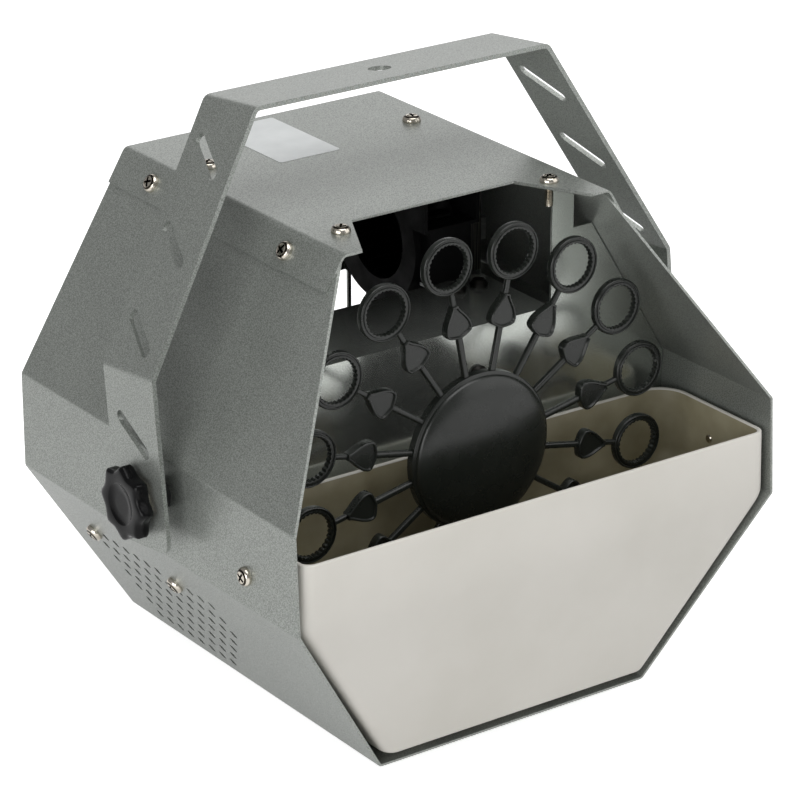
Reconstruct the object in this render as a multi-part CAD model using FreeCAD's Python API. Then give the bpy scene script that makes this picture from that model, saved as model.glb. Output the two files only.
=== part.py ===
"""Bubble machine: a folded sheet housing, a fluid tank, a motor-driven wheel of
wands, a blower behind it, and a tilting strap handle held by two clamp knobs.

Frame: X to the right as seen from the front, Y towards the rear, Z up, millimetres.
While the pieces are made, Y = 0 is the foremost edge of the housing and Z = 0 is its
underside. Every piece is then moved so that the origin is the middle of the whole
footprint, on the surface that the feet stand on.
"""
import FreeCAD, Part
import math
import os
from FreeCAD import Rotation, Vector

# ---- housing ---------------------------------------------------------------
SHELL_HEIGHT = 220.0        # underside to the outside of the top lips
SHELL_DEPTH = 216.0         # foremost edge to rear edge
HALF_WIDTH = 125.0          # middle plane to the outside of the upright sides
TOP_INSET = 56.8            # how far each upper slope leans in
FLOOR_INSET = 54.1          # how far each lower slope leans in
TOP_HALF = HALF_WIDTH - TOP_INSET
FLOOR_HALF = HALF_WIDTH - FLOOR_INSET
CREASE_LOW = 83.2           # height of the crease under the upright sides
CREASE_HIGH = 127.3         # height of the crease over them
FRONT_TOP = 50.9            # how far the front edge lies back at the top
FRONT_HIGH = 2.4            # the same at the upper crease
FRONT_FLOOR = 20.4          # the same at the floor
SHEET = 1.2                 # sheet thickness of the housing
BEND = 1.5                  # inside radius of the folds
INNER_SHEET = 1.2           # sheet thickness of the plates inside
PLATE_GAP = 0.3             # space round a plate that stands inside the housing

# ---- top cover -------------------------------------------------------------
COVER_SHEET = 1.0
COVER_FLANGE = 16.5         # how far the cover folds down over each slope
COVER_FRONT = 47.9          # front edge of the cover
NOTCH_BESIDE = 25.9         # top left beside the notch at its rear edge
MOUTH_BESIDE = 8.8          # top left beside the notch at the cover's front edge
NOTCH_REAR = 80.3           # rear edge of the notch
NOTCH_HALF = TOP_HALF - NOTCH_BESIDE
NOTCH_MOUTH = TOP_HALF - MOUTH_BESIDE
LIP_REVEAL = 1.5            # how far the housing's lips stay behind the notch

# ---- screws ----------------------------------------------------------------
SCREW_R = 2.0               # M4 shank
SCREW_HOLE_R = 2.2
HEAD_R = 4.2
HEAD_H = 3.1
NUT_FLATS = 7.0
NUT_H = 3.2
NUT_BORE_R = 2.03
TIP_SHOW = 1.2              # shank that shows past a nut
TOP_SCREW_INSET = 14.2      # top screws to the top's outer corner
TOP_SCREW_FRONT = 71.0
TOP_SCREW_BACK = 44.5       # rear pair of top screws to the rear edge
FRONT_SHANK = 11.0          # length of the two front cover screws
FLANGE_SCREW_DROP = 8.6     # distance down the slope from the top corner
FLANGE_SCREW_FRONT = 82.8
FLANGE_SCREW_BACK = 30.0
TANK_SCREW_Y = 37.4
TANK_SCREW_Z = 97.1
TANK_TIP = 1.0              # tank screws' tips past the wall
CHASSIS_SCREW_FRONT = 118.0
CHASSIS_SCREW_BACK = 31.5
CHASSIS_SCREW_Z = 58.0
TOP_SCREW_X = TOP_HALF - TOP_SCREW_INSET
TOP_SCREW_REAR = SHELL_DEPTH - TOP_SCREW_BACK
FLANGE_SCREW_REAR = SHELL_DEPTH - FLANGE_SCREW_BACK
CHASSIS_SCREW_REAR = SHELL_DEPTH - CHASSIS_SCREW_BACK

# ---- vents in the lower slopes ----------------------------------------------
VENT_FIRST_Y = 89.0
VENT_PITCH_Y = 8.6
VENT_COLUMNS = 12
VENT_FIRST_S = 28.9         # distance down the lower slope to the first row
VENT_PITCH_S = 9.9
VENT_ROWS = 7
VENT_FULL_ROWS = 3          # rows that start at the first column
VENT_LENGTH = 4.4           # down the slope
VENT_WIDTH = 3.3
VENT_CORNER = 0.9           # cut off each corner of a slot

# ---- partition behind the wheel ---------------------------------------------
PARTITION_Y = 76.0          # front face
WINDOW_INSET = 8.2          # window's edge to the top's outer corner
SHELF_DROP = 59.0           # housing's top to the shelf at the window's lower edge
SHELF_GAP = 1.0             # shelf's rear edge to the blower's nozzle
POST_OUT = 3.4              # posts beside the window reach this far past the top's corner
SHOULDER_DROP = 25.0        # housing's top to where the posts begin
WINDOW_HALF = TOP_HALF - WINDOW_INSET
POST_HALF = TOP_HALF + POST_OUT
SHELF_Z = SHELL_HEIGHT - SHELF_DROP
SHOULDER_Z = SHELL_HEIGHT - SHOULDER_DROP
FOOT_FLANGE = 16.0
FOOT_INSET = 6.0            # foot flange's ends to the floor's corners
TAB_WIDTH = 15.0
TAB_PAST = 8.0              # how far a tab runs past its screw

# ---- rear panel --------------------------------------------------------------
REAR_RECESS = 3.0           # rear panel's outer face to the housing's rear edge
GRILLE_X = 10.0
GRILLE_Z = 127.0
GRILLE_R = 50.0             # cells whose corners lie inside this circle are kept
GRILLE_SLOT = 9.0
GRILLE_BAR = 1.8
GRILLE_ROW = 26.0
GRILLE_RAIL = 2.4
GRILLE_CORNER = 2.0

# ---- tank ----------------------------------------------------------------------
TANK_TOP_Z = 113.4
TANK_FLOOR_Z = 6.2
TANK_TOP_HALF = HALF_WIDTH - 4.0
TANK_MID_HALF = HALF_WIDTH - 2.8
TANK_FLOOR_HALF = FLOOR_HALF - 1.4
TANK_FRONT_TOP = 0.6
TANK_FRONT_MID = 1.0
TANK_FRONT_FLOOR = 16.4
TANK_REAR = 69.5
TANK_WALL = 2.0
TANK_FRONT_R = 6.0
TANK_REAR_R = 15.0
PAD_SIZE = (12.0, 34.0)
PAD_X = 30.0
PAD_Y = 25.0

# ---- wand wheel ------------------------------------------------------------------
WHEEL_Y = 48.0              # middle plane of the wands
WHEEL_Z = 118.3
WANDS = 16
WAND_PHASE = 11.1           # degrees from +X to the first wand
RING_CENTRE_R = 88.0
RING_R = 12.6
RING_HOLE_R = 9.9
RING_TOOTH = 0.6
RING_TEETH = 20
RING_THICK = 3.2
SPADE_INNER_R = 54.5
SPADE_TIP_R = 69.5
SPADE_HALF = 6.6
SPADE_THICK = 4.4
SPADE_RECESS = 0.9
SPOKE_WIDTH = 2.6
SPOKE_THICK = 2.6
HUB_R = 35.6
HUB_PLATE_THICK = 3.6
CAP_DOME = 6.6              # height of the domed cap
CAP_WALL = 1.6
CAP_RIM = 1.5               # height of the cap's upright rim in front of the hub plate
CAP_SHOULDER = 0.80         # share of the radius where the dome turns down to the rim
CAP_DROP = 2.6              # fall of the dome from its middle to that shoulder
CAP_LEDGE = 2.0             # width of the ledge that sits on the hub plate
CAP_NOTCH_GAP = 0.1
BOSS_R = 8.0
BOSS_LENGTH = 12.0
WHEEL_SHAFT_R = 3.0
SHAFT_CLEARANCE = 0.05
SHAFT_FIT = 0.02

# ---- wheel motor -------------------------------------------------------------------
WHEEL_MOTOR_R = 24.5
WHEEL_MOTOR_LENGTH = 19.0
WHEEL_MOTOR_NECK_R = 6.0
WHEEL_MOTOR_NECK = 5.0
EAR_SPACING = 58.0
EAR_TURN = 45.0             # degrees from level to the line through the two ears
EAR_R = 5.0
EAR_THICK = 1.5

# ---- blower --------------------------------------------------------------------------
BLOWER_INSET = 38.2         # scroll's left face to the top's outer corner
BLOWER_X = TOP_HALF - BLOWER_INSET
BLOWER_WIDTH = 28.0
BLOWER_BACK = 51.0          # fan axis to the housing's rear edge
BLOWER_DROP = 46.0          # fan axis to the housing's top
BLOWER_Y = SHELL_DEPTH - BLOWER_BACK
BLOWER_Z = SHELL_HEIGHT - BLOWER_DROP
SCROLL_R = 30.0             # scroll radius at the tongue
SCROLL_GROWTH = 1.6         # added to the radius every quarter turn
SCROLL_WALL = 1.6
NOZZLE_REACH = 37.0         # fan axis forward to the nozzle's mouth
NOZZLE_Y = BLOWER_Y - NOZZLE_REACH
SHELF_DEPTH = NOZZLE_Y - PARTITION_Y - SHELF_GAP
NOZZLE_HEIGHT = 24.0
INLET_R = 20.0
IMPELLER_R = 25.5
IMPELLER_BLADES = 20
BLADE_THICK = 0.9
BLADE_DEPTH = 6.0
BLADE_ANGLE = 35.0
IMPELLER_GAP = 2.0
IMPELLER_HUB = 9.0          # length of the impeller's hub
IMPELLER_HUB_R = 5.0
FAN_SHAFT_R = 2.0
STACK_THICK = 9.0
STACK_HALF_Y = 21.0
STACK_BELOW = 19.0
STACK_ABOVE = 29.0
STACK_LEG = 9.0
STACK_OFF = 4.0             # laminations to the scroll's cover
POST_R = 2.5
POST_INSET = 5.0
STRAP_PAD = 6.0             # length of a bearing strap's foot
ROTOR_R = 11.0
ROTOR_GAP = 0.5
COIL_BUILD = 2.8
COIL_LENGTH = 24.0
BEARING_R = 5.0

# ---- rear fittings ---------------------------------------------------------------------
FITTINGS_Z = 44.0
INLET_X = -48.0
INLET_BODY = (27.0, 20.0)
INLET_FLANGE = (48.0, 24.0)
INLET_DEPTH = 20.0
INLET_SCREWS = 40.0
SMALL_SCREW_R = 1.5
SMALL_HEAD_R = 2.8
SMALL_HEAD_H = 1.8
SMALL_NUT_FLATS = 5.5
SMALL_NUT_H = 2.4
SMALL_TIP = 1.6
FUSE_X = 0.0
FUSE_R = 6.0
FUSE_CAP_R = 7.5
FUSE_CAP_H = 9.0
FUSE_BODY = 30.0
FUSE_NUT_FLATS = 16.0
FUSE_NUT_H = 3.5
ROCKER_X = 45.0
ROCKER_HOLE = (19.2, 13.0)
ROCKER_BEZEL = (22.4, 16.2)
ROCKER_BEZEL_H = 1.8
ROCKER_RISE = 3.6
ROCKER_TILT = 8.0           # degrees each side of level
ROCKER_GAP = 0.3

# ---- handle ---------------------------------------------------------------------------
HANDLE_GAP = 9.5            # housing's side to the inside of a leg
HANDLE_BEND_Z = 55.0        # pivot to the lower bend
HANDLE_TOP_Z = 158.6        # pivot to the top of the bar
HANDLE_TOP_OUT = 7.5        # bar's bends lie this far outside the housing's top corners
HANDLE_END = 20.5           # strap below the pivot
STRAP = 2.0
HANDLE_HALF = HALF_WIDTH + HANDLE_GAP + STRAP
HANDLE_TOP_HALF = TOP_HALF + HANDLE_TOP_OUT
STRAP_WIDTH = 38.5
STRAP_BEND = 2.5
HANDLE_TILT = 7.0           # degrees the handle leans back at rest
PIVOT_Y = 100.5
PIVOT_Z = 111.5
STUD_R = 4.0
STUD_HOLE_R = 4.25
SLOT_LENGTH = 27.0
SLOT_WIDTH = 5.6
SLOT_ANGLE = 35.0
SLOT_SIDE = 1.5             # how far the arm slots lie behind the strap's middle
ARM_SLOTS = (17.0, 56.0, 95.0)
LEG_SLOT = 28.0
HANG_HOLE_R = 5.0
SPACER_R = 6.5
WASHER_R = 10.0
WASHER_H = 1.2
KNOB_R = 16.8
KNOB_LOBES = 8
KNOB_HEAD = 6.8
KNOB_NECK = 1.2
KNOB_NECK_R = 9.0
FACE_GAP = 0.1              # between faces that slide on each other
WELD_NUT_FLATS = 13.0
WELD_NUT_H = 6.5

# ---- feet and terminal block --------------------------------------------------------------
FOOT_R = 8.0
FOOT_H = 6.0
FOOT_X = 50.0
FOOT_FRONT = 44.0
FOOT_BACK = 26.0
FOOT_REAR = SHELL_DEPTH - FOOT_BACK
BLOCK_SIZE = (34.0, 16.0, 12.0)
BLOCK_X = -34.0
BLOCK_BACK = 66.0
BLOCK_Y = SHELL_DEPTH - BLOCK_BACK

PARTS = "parts"


# ---- small tools ----------------------------------------------------------------------------

def polygon(points):
    return Part.Face(Part.makePolygon(points + [points[0]]))


def prism_xz(points, y0, y1):
    """A polygon seen from the front, from depth y0 to y1."""
    return polygon([Vector(x, y0, z) for x, z in points]).extrude(Vector(0, y1 - y0, 0))


def prism_yz(points, x0, x1):
    """A polygon seen from the side, from x0 to x1."""
    return polygon([Vector(x0, y, z) for y, z in points]).extrude(Vector(x1 - x0, 0, 0))


def prism_xy(points, z0, z1):
    """A polygon seen from above, from height z0 to z1."""
    return polygon([Vector(x, y, z0) for x, y in points]).extrude(Vector(0, 0, z1 - z0))


def box(x0, x1, y0, y1, z0, z1):
    return Part.makeBox(x1 - x0, y1 - y0, z1 - z0, Vector(x0, y0, z0))


def cylinder(radius, start, direction, length):
    return Part.makeCylinder(radius, length, start, direction)


def mirrored(shape):
    return shape.mirror(Vector(0, 0, 0), Vector(1, 0, 0))


def joined(shapes):
    return shapes[0].multiFuse(shapes[1:]).removeSplitter() if len(shapes) > 1 else shapes[0]


def without(shape, tools):
    return shape.cut(tools) if tools else shape


def aimed(shape, at, direction):
    """Turn a shape made along +Z so that it points along a direction, at a place."""
    placed = shape.copy()
    placed.Placement = FreeCAD.Placement(at, Rotation(Vector(0, 0, 1), direction))
    return placed


def rounded_path(points, radii, lift):
    """Edges through the points with an arc of the given radius at each inner one."""
    edges = []
    start = points[0]
    for before, here, after, radius in zip(points, points[1:], points[2:], radii):
        back = (before - here).normalize()
        ahead = (after - here).normalize()
        half_turn = (math.pi - back.getAngle(ahead)) / 2
        reach = radius * math.tan(half_turn)
        bisector = (back + ahead).normalize()
        middle = here + bisector * (radius / math.cos(half_turn) - radius)
        into, out = here + back * reach, here + ahead * reach
        edges.append(Part.LineSegment(lift(start), lift(into)).toShape())
        edges.append(Part.Arc(lift(into), lift(middle), lift(out)).toShape())
        start = out
    edges.append(Part.LineSegment(lift(start), lift(points[-1])).toShape())
    return edges


def folded_strip(points, thickness, bend, side, y0, y1):
    """Sheet folded along a path seen from the front, with round folds.

    side is +1 where the thickness lies left of the path, and -1 where it lies right.
    """
    path = [Vector(x, z, 0) for x, z in points]
    runs = [(b - a).normalize() for a, b in zip(path, path[1:])]
    normals = [Vector(-run.y, run.x, 0) * side for run in runs]
    offset = [path[0] + normals[0] * thickness]
    near, far = [], []
    for here, one, other, run, following in zip(path[1:], normals, normals[1:], runs, runs[1:]):
        mitre = (one + other).normalize()
        offset.append(here + mitre * (thickness / mitre.dot(one)))
        inside = run.cross(following).z * side > 0
        near.append(bend + thickness if inside else bend)
        far.append(bend if inside else bend + thickness)
    offset.append(path[-1] + normals[-1] * thickness)

    def lift(point):
        return Vector(point.x, y0, point.y)

    edges = rounded_path(path, near, lift)
    edges.append(Part.LineSegment(lift(path[-1]), lift(offset[-1])).toShape())
    edges += rounded_path(offset[::-1], far[::-1], lift)
    edges.append(Part.LineSegment(lift(offset[0]), lift(path[0])).toShape())
    wire = Part.Wire(Part.__sortEdges__(edges))
    return Part.Face(wire).extrude(Vector(0, y1 - y0, 0))


def hex_nut(flats, height, bore_r):
    corner = flats / math.sqrt(3)
    turns = [math.radians(60 * n) for n in range(6)]
    body = prism_xy([(corner * math.cos(t), corner * math.sin(t)) for t in turns], 0, height)
    return body.cut(Part.makeCylinder(bore_r, height, Vector(0, 0, 0)))


def pan_screw(head_r, head_h, shank_r, length):
    """Pan-head screw along +Z: the head's seat at 0, the shank going down."""
    shank = Part.makeCylinder(shank_r, length, Vector(0, 0, -length))
    rim = Part.makeCylinder(head_r, head_h * 0.4)
    crown = Part.makeCone(head_r, head_r * 0.62, head_h * 0.6, Vector(0, 0, head_h * 0.4))
    return joined([shank, rim, crown])


class Flat:
    """One flat of the housing's right-hand side, from its upper crease to its lower one."""

    def __init__(self, upper, lower):
        self.upper = Vector(upper[0], 0, upper[1])
        run = Vector(lower[0], 0, lower[1]) - self.upper
        self.length = run.Length
        self.down = run.normalize()
        self.outward = Vector(-self.down.z, 0, self.down.x)

    def at(self, distance, y, height=0.0):
        """A place on the outside face, or height above it."""
        return self.upper + self.down * distance + self.outward * height + Vector(0, y, 0)

    def plate(self, s0, s1, y0, y1, top, bottom):
        """A plate along the flat between two heights measured outwards."""
        corners = [self.at(s, 0, h) for s, h in ((s0, top), (s1, top), (s1, bottom), (s0, bottom))]
        return prism_xz([(c.x, c.z) for c in corners], y0, y1)

    def at_height(self, z):
        """The distance down the flat at which its outside face has this height."""
        return (self.upper.z - z) / -self.down.z


UPPER = Flat((TOP_HALF, SHELL_HEIGHT), (HALF_WIDTH, CREASE_HIGH))
UPRIGHT = Flat((HALF_WIDTH, CREASE_HIGH), (HALF_WIDTH, CREASE_LOW))
LOWER = Flat((HALF_WIDTH, CREASE_LOW), (FLOOR_HALF, 0.0))
CHASSIS_SCREW_S = LOWER.at_height(CHASSIS_SCREW_Z)
FLANGE_SPOTS = [(UPPER, FLANGE_SCREW_DROP, y) for y in (FLANGE_SCREW_FRONT, FLANGE_SCREW_REAR)]
CHASSIS_SPOTS = [(LOWER, CHASSIS_SCREW_S, y) for y in (CHASSIS_SCREW_FRONT, CHASSIS_SCREW_REAR)]
TANK_SPOT = (UPRIGHT, UPRIGHT.at_height(TANK_SCREW_Z), TANK_SCREW_Y)
TOP_SPOTS = [(TOP_SCREW_X, y) for y in (TOP_SCREW_FRONT, TOP_SCREW_REAR)]
FOOT_SPOTS = [(x, y) for x in (-FOOT_X, FOOT_X) for y in (FOOT_FRONT, FOOT_REAR)]
REAR_Y = SHELL_DEPTH - REAR_RECESS


def side_pair(shape):
    return [shape, mirrored(shape)]


def hole_in(spot, radius=SCREW_HOLE_R, reach=12.0):
    flat, s, y = spot
    return cylinder(radius, flat.at(s, y, -reach), flat.outward, 2 * reach)


def inside_outline(gap):
    """The housing's inside face moved inwards by a gap, as seen from the front, closed."""
    flats = (UPPER, UPRIGHT, LOWER)
    depth = SHEET + gap
    right = []
    for upper, lower in zip(flats, flats[1:]):
        mitre = (upper.outward + lower.outward).normalize()
        corner = lower.upper - mitre * (depth / mitre.dot(upper.outward))
        right.append((corner.x, corner.z))
    right.append(slope_at(LOWER, depth, depth))
    right.insert(0, slope_at(UPPER, depth, SHELL_HEIGHT - depth))
    return right + [(-x, z) for x, z in right[::-1]]


def slope_at(flat, depth, z):
    """Where a line at a depth inside a flat reaches a height."""
    start = flat.upper - flat.outward * depth
    distance = (start.z - z) / -flat.down.z
    return (start.x + flat.down.x * distance, z)


# ---- housing --------------------------------------------------------------------------------

def notch(reveal, z0, z1):
    """The wedge-sided notch in the front of the top, widened by a reveal."""
    slope = (NOTCH_MOUTH - NOTCH_HALF) / (NOTCH_REAR - COVER_FRONT)
    front = -20.0
    rear = NOTCH_REAR + reveal
    mouth = NOTCH_HALF + reveal + slope * (rear - front)
    half = NOTCH_HALF + reveal
    return prism_xy([(-half, rear), (half, rear), (mouth, front), (-mouth, front)], z0, z1)


def vents():
    half_w, half_l, depth = VENT_WIDTH / 2, VENT_LENGTH / 2, 4.0
    quarter = [(half_w, half_l - VENT_CORNER), (half_w - VENT_CORNER, half_l)]
    half = quarter + [(-x, y) for x, y in quarter[::-1]]
    slot = prism_xy(half + [(-x, -y) for x, y in half], -depth, depth)
    across = Vector(0, 1, 0)
    turn = FreeCAD.Matrix(
        across.x, LOWER.down.x, LOWER.outward.x, 0, across.y, LOWER.down.y, LOWER.outward.y, 0,
        across.z, LOWER.down.z, LOWER.outward.z, 0, 0, 0, 0, 1)
    slots = []
    for row in range(VENT_ROWS):
        for column in range(max(0, row - VENT_FULL_ROWS + 1), VENT_COLUMNS):
            y = VENT_FIRST_Y + VENT_PITCH_Y * column
            s = VENT_FIRST_S + VENT_PITCH_S * row
            clear = min(abs(y - spot_y) for _, _, spot_y in CHASSIS_SPOTS)
            if abs(s - CHASSIS_SCREW_S) < VENT_PITCH_S / 2 and clear < HEAD_R + VENT_WIDTH / 2:
                continue
            cutter = slot.transformGeometry(turn)
            cutter.translate(LOWER.at(s, y))
            slots.append(cutter)
    return slots


def housing_shell():
    lip = NOTCH_HALF + LIP_REVEAL
    right = [(lip, SHELL_HEIGHT), (TOP_HALF, SHELL_HEIGHT), (HALF_WIDTH, CREASE_HIGH),
             (HALF_WIDTH, CREASE_LOW), (FLOOR_HALF, 0)]
    path = [(-x, z) for x, z in right] + right[::-1]
    wrap = folded_strip(path, SHEET, BEND, 1, 0, SHELL_DEPTH)
    far = 20.0
    kept = [(FRONT_TOP, SHELL_HEIGHT + far), (FRONT_TOP, SHELL_HEIGHT), (FRONT_HIGH, CREASE_HIGH),
            (0, CREASE_LOW), (FRONT_FLOOR, 0), (FRONT_FLOOR, -far),
            (SHELL_DEPTH + far, -far), (SHELL_DEPTH + far, SHELL_HEIGHT + far)]
    wrap = wrap.common(prism_yz(kept, -HALF_WIDTH - far, HALF_WIDTH + far))
    cuts = [notch(LIP_REVEAL, SHELL_HEIGHT - 2 * SHEET, SHELL_HEIGHT + SHEET)]
    right_cuts = [hole_in(spot) for spot in FLANGE_SPOTS + CHASSIS_SPOTS + [TANK_SPOT]]
    right_cuts.append(cylinder(STUD_HOLE_R, Vector(HALF_WIDTH - far, PIVOT_Y, PIVOT_Z),
                               Vector(1, 0, 0), 2 * far))
    right_cuts += vents()
    for (x, y), radius in zip(TOP_SPOTS, (NUT_BORE_R, SCREW_HOLE_R)):
        right_cuts.append(cylinder(radius, Vector(x, y, SHELL_HEIGHT - far),
                                   Vector(0, 0, 1), 2 * far))
    for cut in right_cuts:
        cuts += side_pair(cut)
    for x, y in FOOT_SPOTS:
        cuts.append(cylinder(SCREW_HOLE_R, Vector(x, y, -far), Vector(0, 0, 1), far + 2 * SHEET))
    return without(wrap, cuts)


def top_cover():
    end = UPPER.at(COVER_FLANGE, 0)
    path = [(-end.x, end.z), (-TOP_HALF, SHELL_HEIGHT), (TOP_HALF, SHELL_HEIGHT), (end.x, end.z)]
    cover = folded_strip(path, COVER_SHEET, BEND + SHEET, 1, COVER_FRONT, SHELL_DEPTH)
    cuts = [notch(0, SHELL_HEIGHT - 1, SHELL_HEIGHT + 5)]
    for x, y in TOP_SPOTS:
        hole = cylinder(SCREW_HOLE_R, Vector(x, y, SHELL_HEIGHT - 5), Vector(0, 0, 1), 10)
        cuts += side_pair(hole)
    for spot in FLANGE_SPOTS:
        cuts += side_pair(hole_in(spot))
    return without(cover, cuts)


def tab(y0, y1):
    """A tab along the inside of the lower slope, round the chassis screw."""
    half = TAB_WIDTH / 2
    return LOWER.plate(CHASSIS_SCREW_S - half, CHASSIS_SCREW_S + half, y0, y1,
                       -SHEET, -SHEET - INNER_SHEET)


def ear_places():
    """The wheel motor's two screws, on a slanting line through its shaft."""
    turn = math.radians(EAR_TURN)
    reach = EAR_SPACING / 2
    return [(side * reach * math.cos(turn), WHEEL_Z + side * reach * math.sin(turn))
            for side in (-1, 1)]


def partition():
    back = PARTITION_Y + INNER_SHEET
    outline = inside_outline(PLATE_GAP)
    plate = prism_xz(outline, PARTITION_Y, back)
    top = SHELL_HEIGHT
    cuts = [box(-WINDOW_HALF, WINDOW_HALF, PARTITION_Y - 1, back + 1, SHELF_Z, top)]
    beside = box(POST_HALF, HALF_WIDTH, PARTITION_Y - 1, back + 1, SHOULDER_Z, top)
    cuts += side_pair(beside)
    plate = plate.cut(cuts)
    shelf = box(-WINDOW_HALF, WINDOW_HALF, PARTITION_Y, PARTITION_Y + SHELF_DEPTH,
                SHELF_Z - INNER_SHEET, SHELF_Z)
    foot = box(-FLOOR_HALF + FOOT_INSET, FLOOR_HALF - FOOT_INSET, PARTITION_Y, PARTITION_Y + FOOT_FLANGE,
               SHEET, SHEET + INNER_SHEET)
    tabs = side_pair(tab(PARTITION_Y, CHASSIS_SCREW_FRONT + TAB_PAST))
    body = joined([plate, shelf, foot] + tabs)
    holes = side_pair(hole_in(CHASSIS_SPOTS[0]))
    holes.append(cylinder(WHEEL_MOTOR_NECK_R + 0.3, Vector(0, PARTITION_Y - 2, WHEEL_Z),
                          Vector(0, 1, 0), 8))
    for x, z in ear_places():
        holes.append(cylinder(SCREW_HOLE_R, Vector(x, PARTITION_Y - 2, z), Vector(0, 1, 0), 8))
    for x in BRACKET_SCREWS:
        holes.append(cylinder(SCREW_HOLE_R, Vector(x, BRACKET_SCREW_Y, SHELF_Z - 5),
                              Vector(0, 0, 1), 10))
    return body.cut(holes)


def grille_slots():
    """Upright round-cornered cells in three rows, kept where they lie inside a circle."""
    front, rear = REAR_Y - 10, REAR_Y + 10
    pitch = GRILLE_SLOT + GRILLE_BAR
    slots = []
    columns = int(GRILLE_R // pitch)
    for column in range(-columns, columns + 1):
        for row in (-1, 0, 1):
            x, z = column * pitch, row * (GRILLE_ROW + GRILLE_RAIL)
            corner = math.hypot(abs(x) + GRILLE_SLOT / 2, abs(z) + GRILLE_ROW / 2)
            if corner > GRILLE_R:
                continue
            cell = box(x - GRILLE_SLOT / 2, x + GRILLE_SLOT / 2, front, rear,
                       z - GRILLE_ROW / 2, z + GRILLE_ROW / 2)
            along = [edge for edge in cell.Edges if edge.BoundBox.YLength > 1]
            cell = cell.makeFillet(GRILLE_CORNER, along)
            cell.translate(Vector(GRILLE_X, 0, GRILLE_Z))
            slots.append(cell)
    return slots


def rear_panel():
    front = REAR_Y - INNER_SHEET
    plate = prism_xz(inside_outline(PLATE_GAP), front, REAR_Y)
    tabs = side_pair(tab(CHASSIS_SCREW_REAR - TAB_PAST, REAR_Y))
    top_tab = UPPER.plate(FLANGE_SCREW_DROP - 5, FLANGE_SCREW_DROP + 9,
                          FLANGE_SCREW_REAR - TAB_PAST, REAR_Y, -SHEET, -SHEET - INNER_SHEET)
    body = joined([plate] + tabs + side_pair(top_tab))
    cuts = grille_slots()
    cuts += side_pair(hole_in(CHASSIS_SPOTS[1])) + side_pair(hole_in(FLANGE_SPOTS[1]))
    through = 20.0
    y = REAR_Y - through / 2

    def window(x, size):
        return box(x - size[0] / 2, x + size[0] / 2, y, y + through,
                   FITTINGS_Z - size[1] / 2, FITTINGS_Z + size[1] / 2)

    cuts.append(window(INLET_X, (INLET_BODY[0] + 0.4, INLET_BODY[1] + 0.4)))
    cuts.append(window(ROCKER_X, ROCKER_HOLE))
    cuts.append(cylinder(FUSE_R + 0.1, Vector(FUSE_X, y, FITTINGS_Z), Vector(0, 1, 0), through))
    for x in inlet_screw_places():
        cuts.append(cylinder(SMALL_SCREW_R + 0.1, Vector(x, y, FITTINGS_Z), Vector(0, 1, 0), through))
    return body.cut(cuts)


# ---- tank ---------------------------------------------------------------------------------------

def tank_block(inset):
    """The tank's outer form moved inwards, open upwards where the inset isn't zero."""
    high = TANK_TOP_Z + (10 if inset else 0)
    low = TANK_FLOOR_Z + inset
    slope = (TANK_MID_HALF - TANK_FLOOR_HALF) / (CREASE_LOW - TANK_FLOOR_Z)
    side_inset = inset * math.hypot(1, slope)
    mid = TANK_MID_HALF - inset
    floor = TANK_FLOOR_HALF - side_inset + slope * inset
    right = [(TANK_TOP_HALF - inset, high), (mid, CREASE_LOW), (floor, low)]
    past = 30.0
    front = prism_xz([(-x, z) for x, z in right] + right[::-1], -past, TANK_REAR - inset)
    lean = (TANK_FRONT_FLOOR - TANK_FRONT_MID) / (CREASE_LOW - TANK_FLOOR_Z)
    face_inset = inset * math.hypot(1, lean)
    behind = TANK_REAR + past
    side = [(TANK_FRONT_TOP + inset, high), (TANK_FRONT_MID + inset, CREASE_LOW),
            (TANK_FRONT_FLOOR + face_inset - lean * inset, low), (behind, low), (behind, high)]
    block = front.common(prism_yz(side, -HALF_WIDTH, HALF_WIDTH))
    rear_edges, front_edges = [], []
    for edge in block.Edges:
        ends = [vertex.Point for vertex in edge.Vertexes]
        upright = abs(ends[0].z - ends[1].z) > 5
        outer = abs(edge.CenterOfMass.x) > TANK_FLOOR_HALF / 2
        if upright and outer:
            at_rear = edge.CenterOfMass.y > TANK_REAR - inset - 1
            (rear_edges if at_rear else front_edges).append(edge)
    block = block.makeFillet(max(TANK_REAR_R - inset, 1), rear_edges)
    front_edges = [edge for edge in block.Edges if any(
        (edge.CenterOfMass - wanted.CenterOfMass).Length < 0.5 for wanted in front_edges)]
    return block.makeFillet(max(TANK_FRONT_R - inset, 1), front_edges)


def tank():
    body = tank_block(0).cut(tank_block(TANK_WALL))
    return body.cut(side_pair(hole_in(TANK_SPOT, NUT_BORE_R, 15.0)))


def tank_pads():
    width, length = PAD_SIZE
    pad = box(PAD_X - width / 2, PAD_X + width / 2, PAD_Y, PAD_Y + length, SHEET, TANK_FLOOR_Z)
    return side_pair(pad)


# ---- wand wheel -----------------------------------------------------------------------------------

def wheel_point(radius, across, y=0.0):
    """A place on a wand that points along +X, in the wheel's own plane."""
    return Vector(radius, y, across)


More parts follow.
